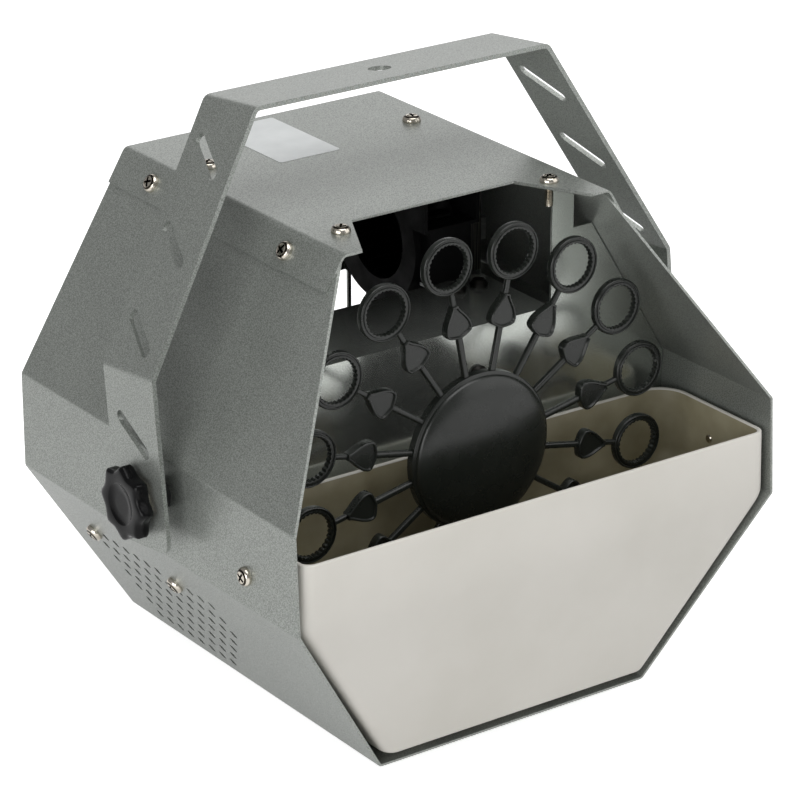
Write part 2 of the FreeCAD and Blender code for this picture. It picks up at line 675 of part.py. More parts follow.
def spade_face(scale):
    """Outline of a spade: a rounded heel towards the hub and a tapering tip."""
    middle = (SPADE_INNER_R + SPADE_TIP_R) / 2
    half = SPADE_HALF

    def at(radius, across):
        return wheel_point(middle + (radius - middle) * scale, across * scale)

    heel = SPADE_INNER_R + 0.6
    shoulder = SPADE_INNER_R + 4.5
    waist = (shoulder + SPADE_TIP_R) / 2
    corner = SPADE_INNER_R + 1.8
    tip = SPOKE_WIDTH / 2
    edges = [
        Part.Arc(at(heel, -half * 0.7), at(SPADE_INNER_R, 0), at(heel, half * 0.7)),
        Part.Arc(at(heel, half * 0.7), at(corner, half * 0.95), at(shoulder, half)),
        Part.Arc(at(shoulder, half), at(waist, half * 0.68), at(SPADE_TIP_R, tip)),
        Part.LineSegment(at(SPADE_TIP_R, tip), at(SPADE_TIP_R, -tip)),
        Part.Arc(at(SPADE_TIP_R, -tip), at(waist, -half * 0.68), at(shoulder, -half)),
        Part.Arc(at(shoulder, -half), at(corner, -half * 0.95), at(heel, -half * 0.7)),
    ]
    return Part.Face(Part.Wire([edge.toShape() for edge in edges]))


def slab(face, thickness, middle=0.0):
    placed = face.copy()
    placed.translate(Vector(0, middle - thickness / 2, 0))
    return placed.extrude(Vector(0, thickness, 0))


def wand():
    """One wand along +X: spoke, spade and toothed ring."""
    centre = wheel_point(RING_CENTRE_R, 0, -RING_THICK / 2)
    ring = cylinder(RING_R, centre, Vector(0, 1, 0), RING_THICK)
    teeth = []
    for n in range(2 * RING_TEETH):
        turn = math.pi * n / RING_TEETH
        radius = RING_HOLE_R - (RING_TOOTH if n % 2 else 0)
        teeth.append(wheel_point(RING_CENTRE_R + radius * math.cos(turn), radius * math.sin(turn)))
    ring = ring.cut(slab(polygon(teeth), 2 * RING_THICK))
    spade = slab(spade_face(1.0), SPADE_THICK)
    for face_side in (-1, 1):
        middle = face_side * SPADE_THICK / 2
        spade = spade.cut(slab(spade_face(0.7), 2 * SPADE_RECESS, middle))
    half, thick = SPOKE_WIDTH / 2, SPOKE_THICK / 2
    spoke = box(HUB_R - 2, SPADE_INNER_R + 1.5, -thick, thick, -half, half)
    neck = box(SPADE_TIP_R - 1, RING_CENTRE_R - RING_R + 1.2, -thick, thick, -half * 0.8, half * 0.8)
    return joined([ring, spade, spoke, neck])


def wand_wheel():
    one = wand()
    front = -HUB_PLATE_THICK / 2
    plate = cylinder(HUB_R - CAP_WALL, Vector(0, front, 0), Vector(0, 1, 0), HUB_PLATE_THICK)
    boss = cylinder(BOSS_R, Vector(0, 0, 0), Vector(0, 1, 0), HUB_PLATE_THICK / 2 + BOSS_LENGTH)
    pieces = [plate, boss]
    for n in range(WANDS):
        copy = one.copy()
        copy.rotate(Vector(0, 0, 0), Vector(0, -1, 0), WAND_PHASE + n * 360.0 / WANDS)
        pieces.append(copy)
    body = joined(pieces)
    bore_start = Vector(0, front - 1, 0)
    bore = cylinder(WHEEL_SHAFT_R + SHAFT_FIT, bore_start, Vector(0, 1, 0), BOSS_LENGTH * 2)
    body = body.cut(bore)
    body.translate(Vector(0, WHEEL_Y, WHEEL_Z))
    return body


def crown(reach, drop, top):
    """Profile of a shallow dome about the Y axis, its centre on that axis."""
    radius = (reach ** 2 + drop ** 2) / (2 * drop)
    half = reach / 2
    sag = radius - math.sqrt(radius ** 2 - half ** 2)
    return Part.Arc(Vector(0, top, 0), Vector(half, top + sag, 0), Vector(reach, top + drop, 0))


def hub_cap():
    """Domed cap over the hub plate, turned about the wheel's axis and notched for the spokes."""
    rear = WHEEL_Y + HUB_PLATE_THICK / 2
    seat = WHEEL_Y - HUB_PLATE_THICK / 2
    crest = seat - CAP_DOME
    rim = seat - CAP_RIM
    reach = HUB_R * CAP_SHOULDER
    bore = HUB_R - CAP_WALL + SHAFT_FIT
    ledge = HUB_R - CAP_WALL - CAP_LEDGE
    bulge = Vector(HUB_R - CAP_RIM * 0.6, rim - CAP_RIM * 0.8, 0)

    def line(start, end):
        return Part.LineSegment(Vector(*start, 0), Vector(*end, 0))

    edges = [
        crown(reach, CAP_DROP, crest),
        Part.Arc(Vector(reach, crest + CAP_DROP, 0), bulge, Vector(HUB_R, rim, 0)),
        line((HUB_R, rim), (HUB_R, rear)),
        line((HUB_R, rear), (bore, rear)),
        line((bore, rear), (bore, seat)),
        line((bore, seat), (ledge, seat)),
        line((ledge, seat), (ledge, rim)),
        line((ledge, rim), (reach, crest + CAP_DROP + CAP_WALL)),
        crown(reach, CAP_DROP, crest + CAP_WALL),
        line((0, crest + CAP_WALL), (0, crest)),
    ]
    face = Part.Face(Part.Wire([edge.toShape() for edge in edges]))
    dome = face.revolve(Vector(0, 0, 0), Vector(0, 1, 0), 360)
    gaps = []
    half = SPOKE_WIDTH / 2 + CAP_NOTCH_GAP
    thick = SPOKE_THICK / 2 + CAP_NOTCH_GAP
    for n in range(WANDS):
        gap = box(HUB_R / 2, HUB_R + 2, WHEEL_Y - thick, rear + 1, -half, half)
        gap.rotate(Vector(0, 0, 0), Vector(0, -1, 0), WAND_PHASE + n * 360.0 / WANDS)
        gaps.append(gap)
    cap = dome.cut(gaps)
    cap.translate(Vector(0, 0, WHEEL_Z))
    return cap


def wheel_shaft():
    start = WHEEL_Y - HUB_PLATE_THICK / 2 - 0.5
    end = PARTITION_Y + INNER_SHEET + WHEEL_MOTOR_LENGTH / 2
    return cylinder(WHEEL_SHAFT_R, Vector(0, start, WHEEL_Z), Vector(0, 1, 0), end - start)


def wheel_clip():
    """Retaining ring on the shaft in front of the hub plate."""
    seat = WHEEL_Y - HUB_PLATE_THICK / 2
    ring = cylinder(WHEEL_SHAFT_R + 2.2, Vector(0, seat - 1.0, WHEEL_Z), Vector(0, 1, 0), 1.0)
    return ring.cut(cylinder(WHEEL_SHAFT_R + SHAFT_FIT, Vector(0, seat - 3, WHEEL_Z),
                             Vector(0, 1, 0), 6))


def wheel_motor():
    back = PARTITION_Y + INNER_SHEET
    axis = Vector(0, 1, 0)
    can = cylinder(WHEEL_MOTOR_R, Vector(0, back, WHEEL_Z), axis, WHEEL_MOTOR_LENGTH)
    rear_rim = max(can.Edges, key=lambda edge: edge.CenterOfMass.y)
    can = can.makeChamfer(1.5, [rear_rim])
    neck = cylinder(WHEEL_MOTOR_NECK_R, Vector(0, back - WHEEL_MOTOR_NECK, WHEEL_Z), axis,
                    WHEEL_MOTOR_NECK)
    reach = EAR_SPACING / 2
    strip = box(-reach, reach, back, back + EAR_THICK, WHEEL_Z - EAR_R, WHEEL_Z + EAR_R)
    strip.rotate(Vector(0, 0, WHEEL_Z), Vector(0, -1, 0), EAR_TURN)
    ends = [cylinder(EAR_R, Vector(x, back, z), axis, EAR_THICK) for x, z in ear_places()]
    terminal = box(-7, 7, back + 6, back + WHEEL_MOTOR_LENGTH - 3,
                   WHEEL_Z - WHEEL_MOTOR_R - 5, WHEEL_Z - WHEEL_MOTOR_R + 2)
    body = joined([can, neck, strip, terminal] + ends)
    depth = WHEEL_MOTOR_LENGTH / 2 + SHAFT_CLEARANCE * 10
    holes = [cylinder(WHEEL_SHAFT_R + SHAFT_CLEARANCE,
                      Vector(0, back - WHEEL_MOTOR_NECK - 1, WHEEL_Z), axis,
                      WHEEL_MOTOR_NECK + 1 + depth)]
    holes += [cylinder(SCREW_HOLE_R, Vector(x, back - 1, z), axis, EAR_THICK + 2)
              for x, z in ear_places()]
    return body.cut(holes)


def wheel_motor_fixings():
    """Two screws from the front of the partition, each with its nut behind the ear."""
    pieces = []
    grip = INNER_SHEET + EAR_THICK
    for x, z in ear_places():
        seat = Vector(x, PARTITION_Y, z)
        screw = pan_screw(HEAD_R, HEAD_H, SCREW_R, grip + NUT_H + TIP_SHOW)
        pieces.append(aimed(screw, seat, Vector(0, -1, 0)))
        nut = hex_nut(NUT_FLATS, NUT_H, NUT_BORE_R)
        pieces.append(aimed(nut, seat + Vector(0, grip, 0), Vector(0, 1, 0)))
    return pieces


# ---- blower ------------------------------------------------------------------------------------------

BRACKET_X = BLOWER_X + BLOWER_WIDTH / 2
BRACKET_HALF = 11.0
BRACKET_SCREWS = (BRACKET_X - 6, BRACKET_X + 6)
BRACKET_SCREW_Y = PARTITION_Y + SHELF_DEPTH - 12
BRACKET_TOP = SHELF_Z - INNER_SHEET
SCROLL_FOOT = 8.0
FOOT_SCREW_Y = NOZZLE_Y + SCROLL_FOOT / 2


def scroll_outline(inset, front):
    """Outline of the scroll seen from the side: a growing spiral and a straight nozzle."""
    cy, cz = BLOWER_Y, BLOWER_Z
    radii = [SCROLL_R + SCROLL_GROWTH * n - inset for n in range(4)]
    # quarter arcs about centres that step so that each joins the next in tangent
    tongue = Vector(0, cy - radii[0], cz)
    bottom = Vector(0, cy, cz - radii[0] - SCROLL_GROWTH / 2)
    rear = Vector(0, cy + radii[2], cz)
    top_z = cz + radii[3]
    top = Vector(0, cy, top_z)
    diagonal = math.sqrt(0.5)

    def bulge(radius, dy, dz):
        return Vector(0, cy + dy * radius * diagonal, cz + dz * radius * diagonal)

    low = top_z - NOZZLE_HEIGHT + 2 * inset
    low_back = Vector(0, cy - radii[0] * 0.92, low)
    edges = [
        Part.LineSegment(Vector(0, front, low), low_back),
        Part.LineSegment(low_back, tongue),
        Part.Arc(tongue, bulge(radii[0] + SCROLL_GROWTH * 0.3, -1, -1), bottom),
        Part.Arc(bottom, bulge(radii[1] + SCROLL_GROWTH * 0.3, 1, -1), rear),
        Part.Arc(rear, bulge(radii[2] + SCROLL_GROWTH * 0.3, 1, 1), top),
        Part.LineSegment(top, Vector(0, front, top_z)),
        Part.LineSegment(Vector(0, front, top_z), Vector(0, front, low)),
    ]
    return Part.Face(Part.Wire([edge.toShape() for edge in edges]))


def swept_x(face, x0, x1):
    placed = face.copy()
    placed.translate(Vector(x0, 0, 0))
    return placed.extrude(Vector(x1 - x0, 0, 0))


def blower_scroll():
    right = BLOWER_X + BLOWER_WIDTH
    body = swept_x(scroll_outline(0, NOZZLE_Y), BLOWER_X, right)
    foot_bottom = BRACKET_TOP
    nozzle_low = BLOWER_Z + SCROLL_R + 3 * SCROLL_GROWTH - NOZZLE_HEIGHT
    foot = box(BRACKET_X - BRACKET_HALF, BRACKET_X + BRACKET_HALF, NOZZLE_Y, NOZZLE_Y + SCROLL_FOOT,
               foot_bottom, nozzle_low + SCROLL_WALL)
    body = joined([body, foot])
    hollow = swept_x(scroll_outline(SCROLL_WALL, NOZZLE_Y - 5), BLOWER_X + SCROLL_WALL, right + 1)
    centre = Vector(BLOWER_X - 1, BLOWER_Y, BLOWER_Z)
    inlet = cylinder(INLET_R, centre, Vector(1, 0, 0), 5)
    screw = cylinder(SMALL_SCREW_R + 0.05, Vector(BRACKET_X, FOOT_SCREW_Y, foot_bottom - 1),
                     Vector(0, 0, 1), 9)
    return body.cut([hollow, inlet, screw])


def blower_cover():
    """Side plate of the scroll that carries the motor."""
    right = BLOWER_X + BLOWER_WIDTH
    plate = swept_x(scroll_outline(0, NOZZLE_Y), right, right + SCROLL_WALL)
    hole = cylinder(BEARING_R + 1, Vector(right - 1, BLOWER_Y, BLOWER_Z), Vector(1, 0, 0), 5)
    return plate.cut(hole)


STACK_X = BLOWER_X + BLOWER_WIDTH + SCROLL_WALL + STACK_OFF


def impeller():
    """Squirrel-cage impeller: back plate, slanted blades and front ring."""
    x0 = BLOWER_X + SCROLL_WALL + IMPELLER_GAP
    x1 = BLOWER_X + BLOWER_WIDTH - IMPELLER_GAP
    axis = Vector(1, 0, 0)
    plate = cylinder(IMPELLER_R, Vector(x1 - 1.5, 0, 0), axis, 1.5)
    hub = cylinder(IMPELLER_HUB_R, Vector(x1 - IMPELLER_HUB, 0, 0), axis, IMPELLER_HUB)
    ring = cylinder(IMPELLER_R, Vector(x0, 0, 0), axis, 2)
    ring = ring.cut(cylinder(IMPELLER_R - BLADE_DEPTH * 0.75, Vector(x0 - 1, 0, 0), axis, 5))
    pieces = [plate, hub, ring]
    inner = IMPELLER_R - BLADE_DEPTH * math.cos(math.radians(BLADE_ANGLE)) - 0.8
    for n in range(IMPELLER_BLADES):
        blade = box(x0 + 1, x1 - 1, 0, BLADE_DEPTH, -BLADE_THICK / 2, BLADE_THICK / 2)
        blade.rotate(Vector(0, 0, 0), axis, BLADE_ANGLE)
        blade.translate(Vector(0, inner, 0))
        blade.rotate(Vector(0, 0, 0), axis, n * 360.0 / IMPELLER_BLADES)
        pieces.append(blade)
    body = joined(pieces)
    body = body.cut(cylinder(FAN_SHAFT_R + SHAFT_FIT, Vector(x0 - 5, 0, 0), axis, BLOWER_WIDTH + 5))
    body.translate(Vector(0, BLOWER_Y, BLOWER_Z))
    return body


def fan_shaft():
    """Shaft with the motor's rotor on it."""
    start = BLOWER_X + BLOWER_WIDTH - IMPELLER_GAP - IMPELLER_HUB
    end = STACK_X + STACK_THICK + 4.5
    axis = Vector(1, 0, 0)
    shaft = cylinder(FAN_SHAFT_R, Vector(start, BLOWER_Y, BLOWER_Z), axis, end - start)
    rotor = cylinder(ROTOR_R, Vector(STACK_X, BLOWER_Y, BLOWER_Z), axis, STACK_THICK)
    return joined([shaft, rotor])


def fan_motor_stack():
    """Shaded-pole motor laminations: a frame with the rotor bore low and the coil leg on top."""
    y0, y1 = BLOWER_Y - STACK_HALF_Y, BLOWER_Y + STACK_HALF_Y
    z0, z1 = BLOWER_Z - STACK_BELOW, BLOWER_Z + STACK_ABOVE
    frame = box(STACK_X, STACK_X + STACK_THICK, y0, y1, z0, z1)
    axis = Vector(1, 0, 0)
    bore = cylinder(ROTOR_R + ROTOR_GAP, Vector(STACK_X - 1, BLOWER_Y, BLOWER_Z), axis,
                    STACK_THICK + 2)
    window_low = BLOWER_Z + ROTOR_R + 3.0
    window = box(STACK_X - 1, STACK_X + STACK_THICK + 1, y0 + STACK_LEG, y1 - STACK_LEG,
                 window_low, z1 - STACK_LEG)
    return frame.cut([bore, window])


def fan_motor_coil():
    """Taped winding round the top leg of the laminations."""
    z1 = BLOWER_Z + STACK_ABOVE
    z0 = z1 - STACK_LEG
    y0, y1 = BLOWER_Y - COIL_LENGTH / 2 + 0.3, BLOWER_Y + COIL_LENGTH / 2 - 0.3
    b = COIL_BUILD
    winding = box(STACK_X - b, STACK_X + STACK_THICK + b, y0, y1, z0 - b, z1 + b)
    lengthwise = [edge for edge in winding.Edges
                  if abs(edge.Vertexes[0].Y - edge.Vertexes[1].Y) > 1]
    winding = winding.makeFillet(b * 0.7, lengthwise)
    core = box(STACK_X, STACK_X + STACK_THICK, y0 - 5, y1 + 5, z0, z1)
    return winding.cut(core)


def fan_motor_bearings():
    """The two bearing straps, each screwed across one face of the laminations."""
    axis = Vector(1, 0, 0)
    straps = []
    gap = 1.2
    outer_x = STACK_X + STACK_THICK
    for base, sign in ((STACK_X, -1), (outer_x, 1)):
        x0, x1 = sorted((base + sign * gap, base + sign * (gap + 1.6)))
        strap = box(x0, x1, BLOWER_Y - STACK_HALF_Y, BLOWER_Y + STACK_HALF_Y,
                    BLOWER_Z - 5, BLOWER_Z + 5)
        low, high = sorted((base, base + sign * gap))
        pads = [box(low, high, y, y + STRAP_PAD, BLOWER_Z - 5, BLOWER_Z + 5)
                for y in (BLOWER_Y - STACK_HALF_Y, BLOWER_Y + STACK_HALF_Y - STRAP_PAD)]
        boss = cylinder(BEARING_R, Vector(x0, BLOWER_Y, BLOWER_Z), axis, 1.6)
        body = joined([strap, boss] + pads)
        straps.append(body.cut(cylinder(FAN_SHAFT_R + SHAFT_CLEARANCE,
                                        Vector(x0 - 2, BLOWER_Y, BLOWER_Z), axis, 6)))
    return straps


def fan_motor_posts():
    """Two posts that hold the motor off the scroll's cover."""
    start = BLOWER_X + BLOWER_WIDTH + SCROLL_WALL
    z = BLOWER_Z - STACK_BELOW + POST_INSET
    reach = STACK_HALF_Y - POST_INSET
    return [cylinder(POST_R, Vector(start, y, z), Vector(1, 0, 0), STACK_X - start)
            for y in (BLOWER_Y - reach, BLOWER_Y + reach)]


def blower_bracket():
    """Flat bracket from the underside of the shelf to the scroll's foot."""
    low = BRACKET_TOP - 1.5
    start = BRACKET_SCREW_Y - 8
    plate = box(BRACKET_X - BRACKET_HALF, BRACKET_X + BRACKET_HALF, start, NOZZLE_Y + SCROLL_FOOT,
                low, BRACKET_TOP)
    holes = [cylinder(SCREW_HOLE_R, Vector(x, BRACKET_SCREW_Y, low - 1), Vector(0, 0, 1), 4)
             for x in BRACKET_SCREWS]
    holes.append(cylinder(SMALL_SCREW_R + 0.1, Vector(BRACKET_X, FOOT_SCREW_Y, low - 1),
                          Vector(0, 0, 1), 4))
    return plate.cut(holes)


def blower_fixings():
    """Two screws and nuts through shelf and bracket, and one screw into the scroll's foot."""
    pieces = []
    up = Vector(0, 0, 1)
    for x in BRACKET_SCREWS:
        seat = Vector(x, BRACKET_SCREW_Y, SHELF_Z)
        grip = INNER_SHEET + 1.5
        pieces.append(aimed(pan_screw(HEAD_R, HEAD_H, SCREW_R, grip + NUT_H + TIP_SHOW), seat, up))
        pieces.append(aimed(hex_nut(NUT_FLATS, NUT_H, NUT_BORE_R), seat - up * grip, -up))
    seat = Vector(BRACKET_X, FOOT_SCREW_Y, BRACKET_TOP - 1.5)
    pieces.append(aimed(pan_screw(SMALL_HEAD_R, SMALL_HEAD_H, SMALL_SCREW_R, 8.0), seat, -up))
    return pieces


# ---- rear fittings --------------------------------------------------------------------------------

def inlet_screw_places():
    return (INLET_X - INLET_SCREWS / 2, INLET_X + INLET_SCREWS / 2)


def power_inlet():
    """Mains inlet with a three-pole recess and a flange on the panel."""
    width, height = INLET_BODY
    body = box(INLET_X - width / 2, INLET_X + width / 2, REAR_Y - INLET_DEPTH, REAR_Y,
               FITTINGS_Z - height / 2, FITTINGS_Z + height / 2)
    wide, tall = INLET_FLANGE
    corner = 8.0
    outline = [(wide / 2 - corner, tall / 2), (wide / 2, 4), (wide / 2, -4),
               (wide / 2 - corner, -tall / 2)]
    outline += [(-x, -z) for x, z in outline]
    flange = prism_xz([(INLET_X + x, FITTINGS_Z + z) for x, z in outline], REAR_Y, REAR_Y + 2.5)
    recess_w, recess_h, cut = width - 3.5, height - 4.5, 4.5
    recess = [(-recess_w / 2, -recess_h / 2), (recess_w / 2, -recess_h / 2),
              (recess_w / 2, recess_h / 2 - cut), (recess_w / 2 - cut, recess_h / 2),
              (-recess_w / 2 + cut, recess_h / 2), (-recess_w / 2, recess_h / 2 - cut)]
    hollow = prism_xz([(INLET_X + x, FITTINGS_Z + z) for x, z in recess],
                      REAR_Y - INLET_DEPTH + 4, REAR_Y + 5)
    holes = [cylinder(SMALL_SCREW_R + 0.1, Vector(x, REAR_Y - 2, FITTINGS_Z), Vector(0, 1, 0), 8)
             for x in inlet_screw_places()]
    return joined([body, flange]).cut([hollow] + holes)


def inlet_pins():
    pins = []
    for x, z in ((-7.0, 1.5), (7.0, 1.5), (0.0, -2.5)):
        pins.append(box(INLET_X + x - 1.0, INLET_X + x + 1.0, REAR_Y - INLET_DEPTH + 4, REAR_Y - 3,
                        FITTINGS_Z - z - 2.0, FITTINGS_Z - z + 2.0))
    return pins


def inlet_screws():
    pieces = []
    grip = INNER_SHEET + 2.5
    for x in inlet_screw_places():
        seat = Vector(x, REAR_Y + 2.5, FITTINGS_Z)
        length = grip + SMALL_NUT_H + SMALL_TIP
        pieces.append(aimed(pan_screw(SMALL_HEAD_R, SMALL_HEAD_H, SMALL_SCREW_R, length),
                            seat, Vector(0, 1, 0)))
        pieces.append(aimed(hex_nut(SMALL_NUT_FLATS, SMALL_NUT_H, SMALL_SCREW_R + 0.03),
                            seat - Vector(0, grip, 0), Vector(0, -1, 0)))
    return pieces


def fuse_holder():
    """Threaded fuse body behind the panel, with its hexagon nut."""
    axis = Vector(0, 1, 0)
    front = REAR_Y - INNER_SHEET
    body = cylinder(FUSE_R, Vector(FUSE_X, REAR_Y - FUSE_BODY, FITTINGS_Z), axis, FUSE_BODY)
    nut = hex_nut(FUSE_NUT_FLATS, FUSE_NUT_H, FUSE_R - 0.5)
    nut = aimed(nut, Vector(FUSE_X, front, FITTINGS_Z), -axis)
    return joined([body, nut])


def fuse_cap():
    """Round fuse cap with a driver slot."""
    axis = Vector(0, 1, 0)
    cap = cylinder(FUSE_CAP_R, Vector(FUSE_X, REAR_Y, FITTINGS_Z), axis, FUSE_CAP_H)
    rim = max(cap.Edges, key=lambda edge: edge.CenterOfMass.y)
    cap = cap.makeChamfer(1.2, [rim])
    slot = box(FUSE_X - FUSE_CAP_R, FUSE_X + FUSE_CAP_R, REAR_Y + FUSE_CAP_H - 1.8,
               REAR_Y + FUSE_CAP_H + 1, FITTINGS_Z - 0.8, FITTINGS_Z + 0.8)
    return cap.cut(slot)


def switch_body():
    """Rocker switch housing: bezel outside the panel and body behind it, open at the face."""
    wide, tall = ROCKER_BEZEL
    hole_w, hole_h = ROCKER_HOLE
    bezel = box(ROCKER_X - wide / 2, ROCKER_X + wide / 2, REAR_Y, REAR_Y + ROCKER_BEZEL_H,
                FITTINGS_Z - tall / 2, FITTINGS_Z + tall / 2)
    slack = 0.1
    body = box(ROCKER_X - hole_w / 2 + slack, ROCKER_X + hole_w / 2 - slack, REAR_Y - 16, REAR_Y,
               FITTINGS_Z - hole_h / 2 + slack, FITTINGS_Z + hole_h / 2 - slack)
    well_w, well_h = rocker_size()
    well = box(ROCKER_X - well_w / 2 - ROCKER_GAP, ROCKER_X + well_w / 2 + ROCKER_GAP,
               REAR_Y - 9, REAR_Y + 5,
               FITTINGS_Z - well_h / 2 - ROCKER_GAP, FITTINGS_Z + well_h / 2 + ROCKER_GAP)
    return joined([bezel, body]).cut(well)


def rocker_size():
    return (ROCKER_HOLE[0] - 3.2, ROCKER_HOLE[1] - 3.0)


ROCKER_PIVOT_Y = REAR_Y - 4.0


def power_rocker():
    """Rocker with a gabled face, resting with its upper half pressed in."""
    wide, tall = rocker_size()
    pivot_y = ROCKER_PIVOT_Y
    half = tall / 2 - 0.6
    face = ROCKER_BEZEL_H + ROCKER_RISE
    side = [(REAR_Y - 6.5, -half + 1.6), (REAR_Y + face - 1.2, -half + 0.4), (REAR_Y + face - 2.4, 0),
            (REAR_Y + face - 1.2, half - 0.4), (REAR_Y - 6.5, half - 1.6)]
    body = prism_yz([(y, FITTINGS_Z + z) for y, z in side], ROCKER_X - wide / 2, ROCKER_X + wide / 2)
    body.rotate(Vector(ROCKER_X, pivot_y, FITTINGS_Z), Vector(1, 0, 0), ROCKER_TILT)
    return body


def terminal_block():
    """Mains terminal strip on the floor: a moulding with raised poles, screwed down."""
    width, depth, height = BLOCK_SIZE
    x0, y0 = BLOCK_X - width / 2, BLOCK_Y - depth / 2
    base = box(x0, x0 + width, y0, y0 + depth, SHEET, SHEET + height * 0.5)
    pole = (width - 4) / 3
    poles = [box(x0 + 1 + n * (pole + 1), x0 + 1 + n * (pole + 1) + pole, y0 + 3, y0 + depth - 3,
                 SHEET, SHEET + height) for n in range(3)]
    return joined([base] + poles)


# ---- handle -----------------------------------------------------------------------------------------

def slot_cutter(depth):
    """Round-ended slot across the strap, made in the XY plane round the origin."""
    radius = SLOT_WIDTH / 2
    half = SLOT_LENGTH / 2 - radius
    bar = box(-half, half, -radius, radius, -depth, depth)
    ends = [cylinder(radius, Vector(x, 0, -depth), Vector(0, 0, 1), 2 * depth) for x in (-half, half)]
    cutter = joined([bar] + ends)
    cutter.rotate(Vector(0, 0, 0), Vector(0, 0, 1), 90 - SLOT_ANGLE)
    return cutter


def handle_blank():
    """The strap as bent, upright, with its pivots on the X axis."""
    right = [(HANDLE_HALF, -HANDLE_END), (HANDLE_HALF, HANDLE_BEND_Z),
             (HANDLE_TOP_HALF, HANDLE_TOP_Z)]
    path = [(-x, z) for x, z in right] + right[::-1]
    strap = folded_strip(path, STRAP, STRAP_BEND, -1, -STRAP_WIDTH / 2, STRAP_WIDTH / 2)
    ends = [edge for edge in strap.Edges
            if edge.BoundBox.ZMax < -HANDLE_END + 0.1 and edge.BoundBox.XLength > STRAP / 2]
    return strap.makeFillet(5.0, ends)


def carry_handle():
    arm = Flat((HANDLE_TOP_HALF, HANDLE_TOP_Z), (HANDLE_HALF, HANDLE_BEND_Z))
    leg = Flat((HANDLE_HALF, HANDLE_BEND_Z), (HANDLE_HALF, 0))
    cuts = []
    for flat, distance, shift in (
            [(arm, arm.length - s, SLOT_SIDE) for s in ARM_SLOTS]
            + [(leg, leg.length - LEG_SLOT, 0.0)]):
        cutter = slot_cutter(2 * STRAP)
        turn = FreeCAD.Matrix(
            -flat.down.x, 0, flat.outward.x, 0, -flat.down.y, 1, flat.outward.y, 0,
            -flat.down.z, 0, flat.outward.z, 0, 0, 0, 0, 1)
        cutter = cutter.transformGeometry(turn)
        cutter.translate(flat.at(distance, shift))
        cuts += side_pair(cutter)
    cuts.append(cylinder(HANG_HOLE_R, Vector(0, 0, HANDLE_TOP_Z - 3 * STRAP), Vector(0, 0, 1),
                         5 * STRAP))
    hole_start = Vector(HANDLE_HALF - 3 * STRAP, 0, 0)
    cuts += side_pair(cylinder(STUD_HOLE_R, hole_start, Vector(1, 0, 0), 5 * STRAP))
    strap = handle_blank().cut(cuts)
    strap.rotate(Vector(0, 0, 0), Vector(1, 0, 0), -HANDLE_TILT)
    strap.translate(Vector(0, PIVOT_Y, PIVOT_Z))
    return strap


def on_pivot(radius, x0, x1):
    return cylinder(radius, Vector(x0, PIVOT_Y, PIVOT_Z), Vector(1, 0, 0), x1 - x0)


def handle_spacer():
    """Plain spacer between the housing and the strap."""
    x0, x1 = HALF_WIDTH, HANDLE_HALF - STRAP - FACE_GAP
    return on_pivot(SPACER_R, x0, x1).cut(on_pivot(STUD_HOLE_R, x0 - 1, x1 + 1))


WASHER_X = HANDLE_HALF + FACE_GAP


def handle_washer():
    x0, x1 = WASHER_X, WASHER_X + WASHER_H
    return on_pivot(WASHER_R, x0, x1).cut(on_pivot(STUD_R + SHAFT_CLEARANCE, x0 - 1, x1 + 1))


def clamp_knob():
    """Lobed knob: a scalloped, chamfered head on a short neck."""
    x0 = WASHER_X + WASHER_H + FACE_GAP
    neck_end = x0 + KNOB_NECK
    x1 = neck_end + KNOB_HEAD
    head = on_pivot(KNOB_R, neck_end, x1)
    head = head.makeChamfer(1.4, [edge for edge in head.Edges if edge.Closed])
    scallop_r = 6.2
    orbit = KNOB_R + scallop_r - 2.3
    cuts = []
    for n in range(KNOB_LOBES):
        turn = math.radians((n + 0.5) * 360.0 / KNOB_LOBES)
        centre = Vector(neck_end - 1, PIVOT_Y + orbit * math.cos(turn), PIVOT_Z + orbit * math.sin(turn))
        cuts.append(cylinder(scallop_r, centre, Vector(1, 0, 0), KNOB_HEAD + 2))
    dish = on_pivot(KNOB_NECK_R, x1 - 0.8, x1 + 1)
    head = head.cut(cuts + [dish])
    neck = on_pivot(KNOB_NECK_R, x0, neck_end + 1)
    return joined([head, neck]).cut(on_pivot(STUD_R + SHAFT_FIT, x0 - 1, x1 - 2))


def knob_stud():
    """Threaded stud moulded into the knob."""
    x0 = HALF_WIDTH - SHEET - WELD_NUT_H - 1.0
    x1 = WASHER_X + WASHER_H + FACE_GAP + KNOB_NECK + KNOB_HEAD - 2
    return on_pivot(STUD_R, x0, x1)


def weld_nuts():
    nut = hex_nut(WELD_NUT_FLATS, WELD_NUT_H, STUD_R + SHAFT_CLEARANCE)
    right = aimed(nut, Vector(HALF_WIDTH - SHEET, PIVOT_Y, PIVOT_Z), Vector(-1, 0, 0))
    return side_pair(right)


# ---- screws, nuts and feet --------------------------------------------------------------------------

def screw_and_nut(seat, outward, grip, spare):
    """A pan-head screw with its seat at a place, and the nut at the end of its grip."""
    screw = aimed(pan_screw(HEAD_R, HEAD_H, SCREW_R, grip + NUT_H + spare), seat, outward)
    nut = aimed(hex_nut(NUT_FLATS, NUT_H, NUT_BORE_R), seat - outward * grip, -outward)
    return screw, nut


def fixings(spots, height, grip, spare=TIP_SHOW):
    """Screws and nuts on both sides of the housing at spots on its flats."""
    screws, nuts = [], []
    for flat, s, y in spots:
        screw, nut = screw_and_nut(flat.at(s, y, height), flat.outward, grip, spare)
        screws += side_pair(screw)
        nuts += side_pair(nut)
    return screws, nuts


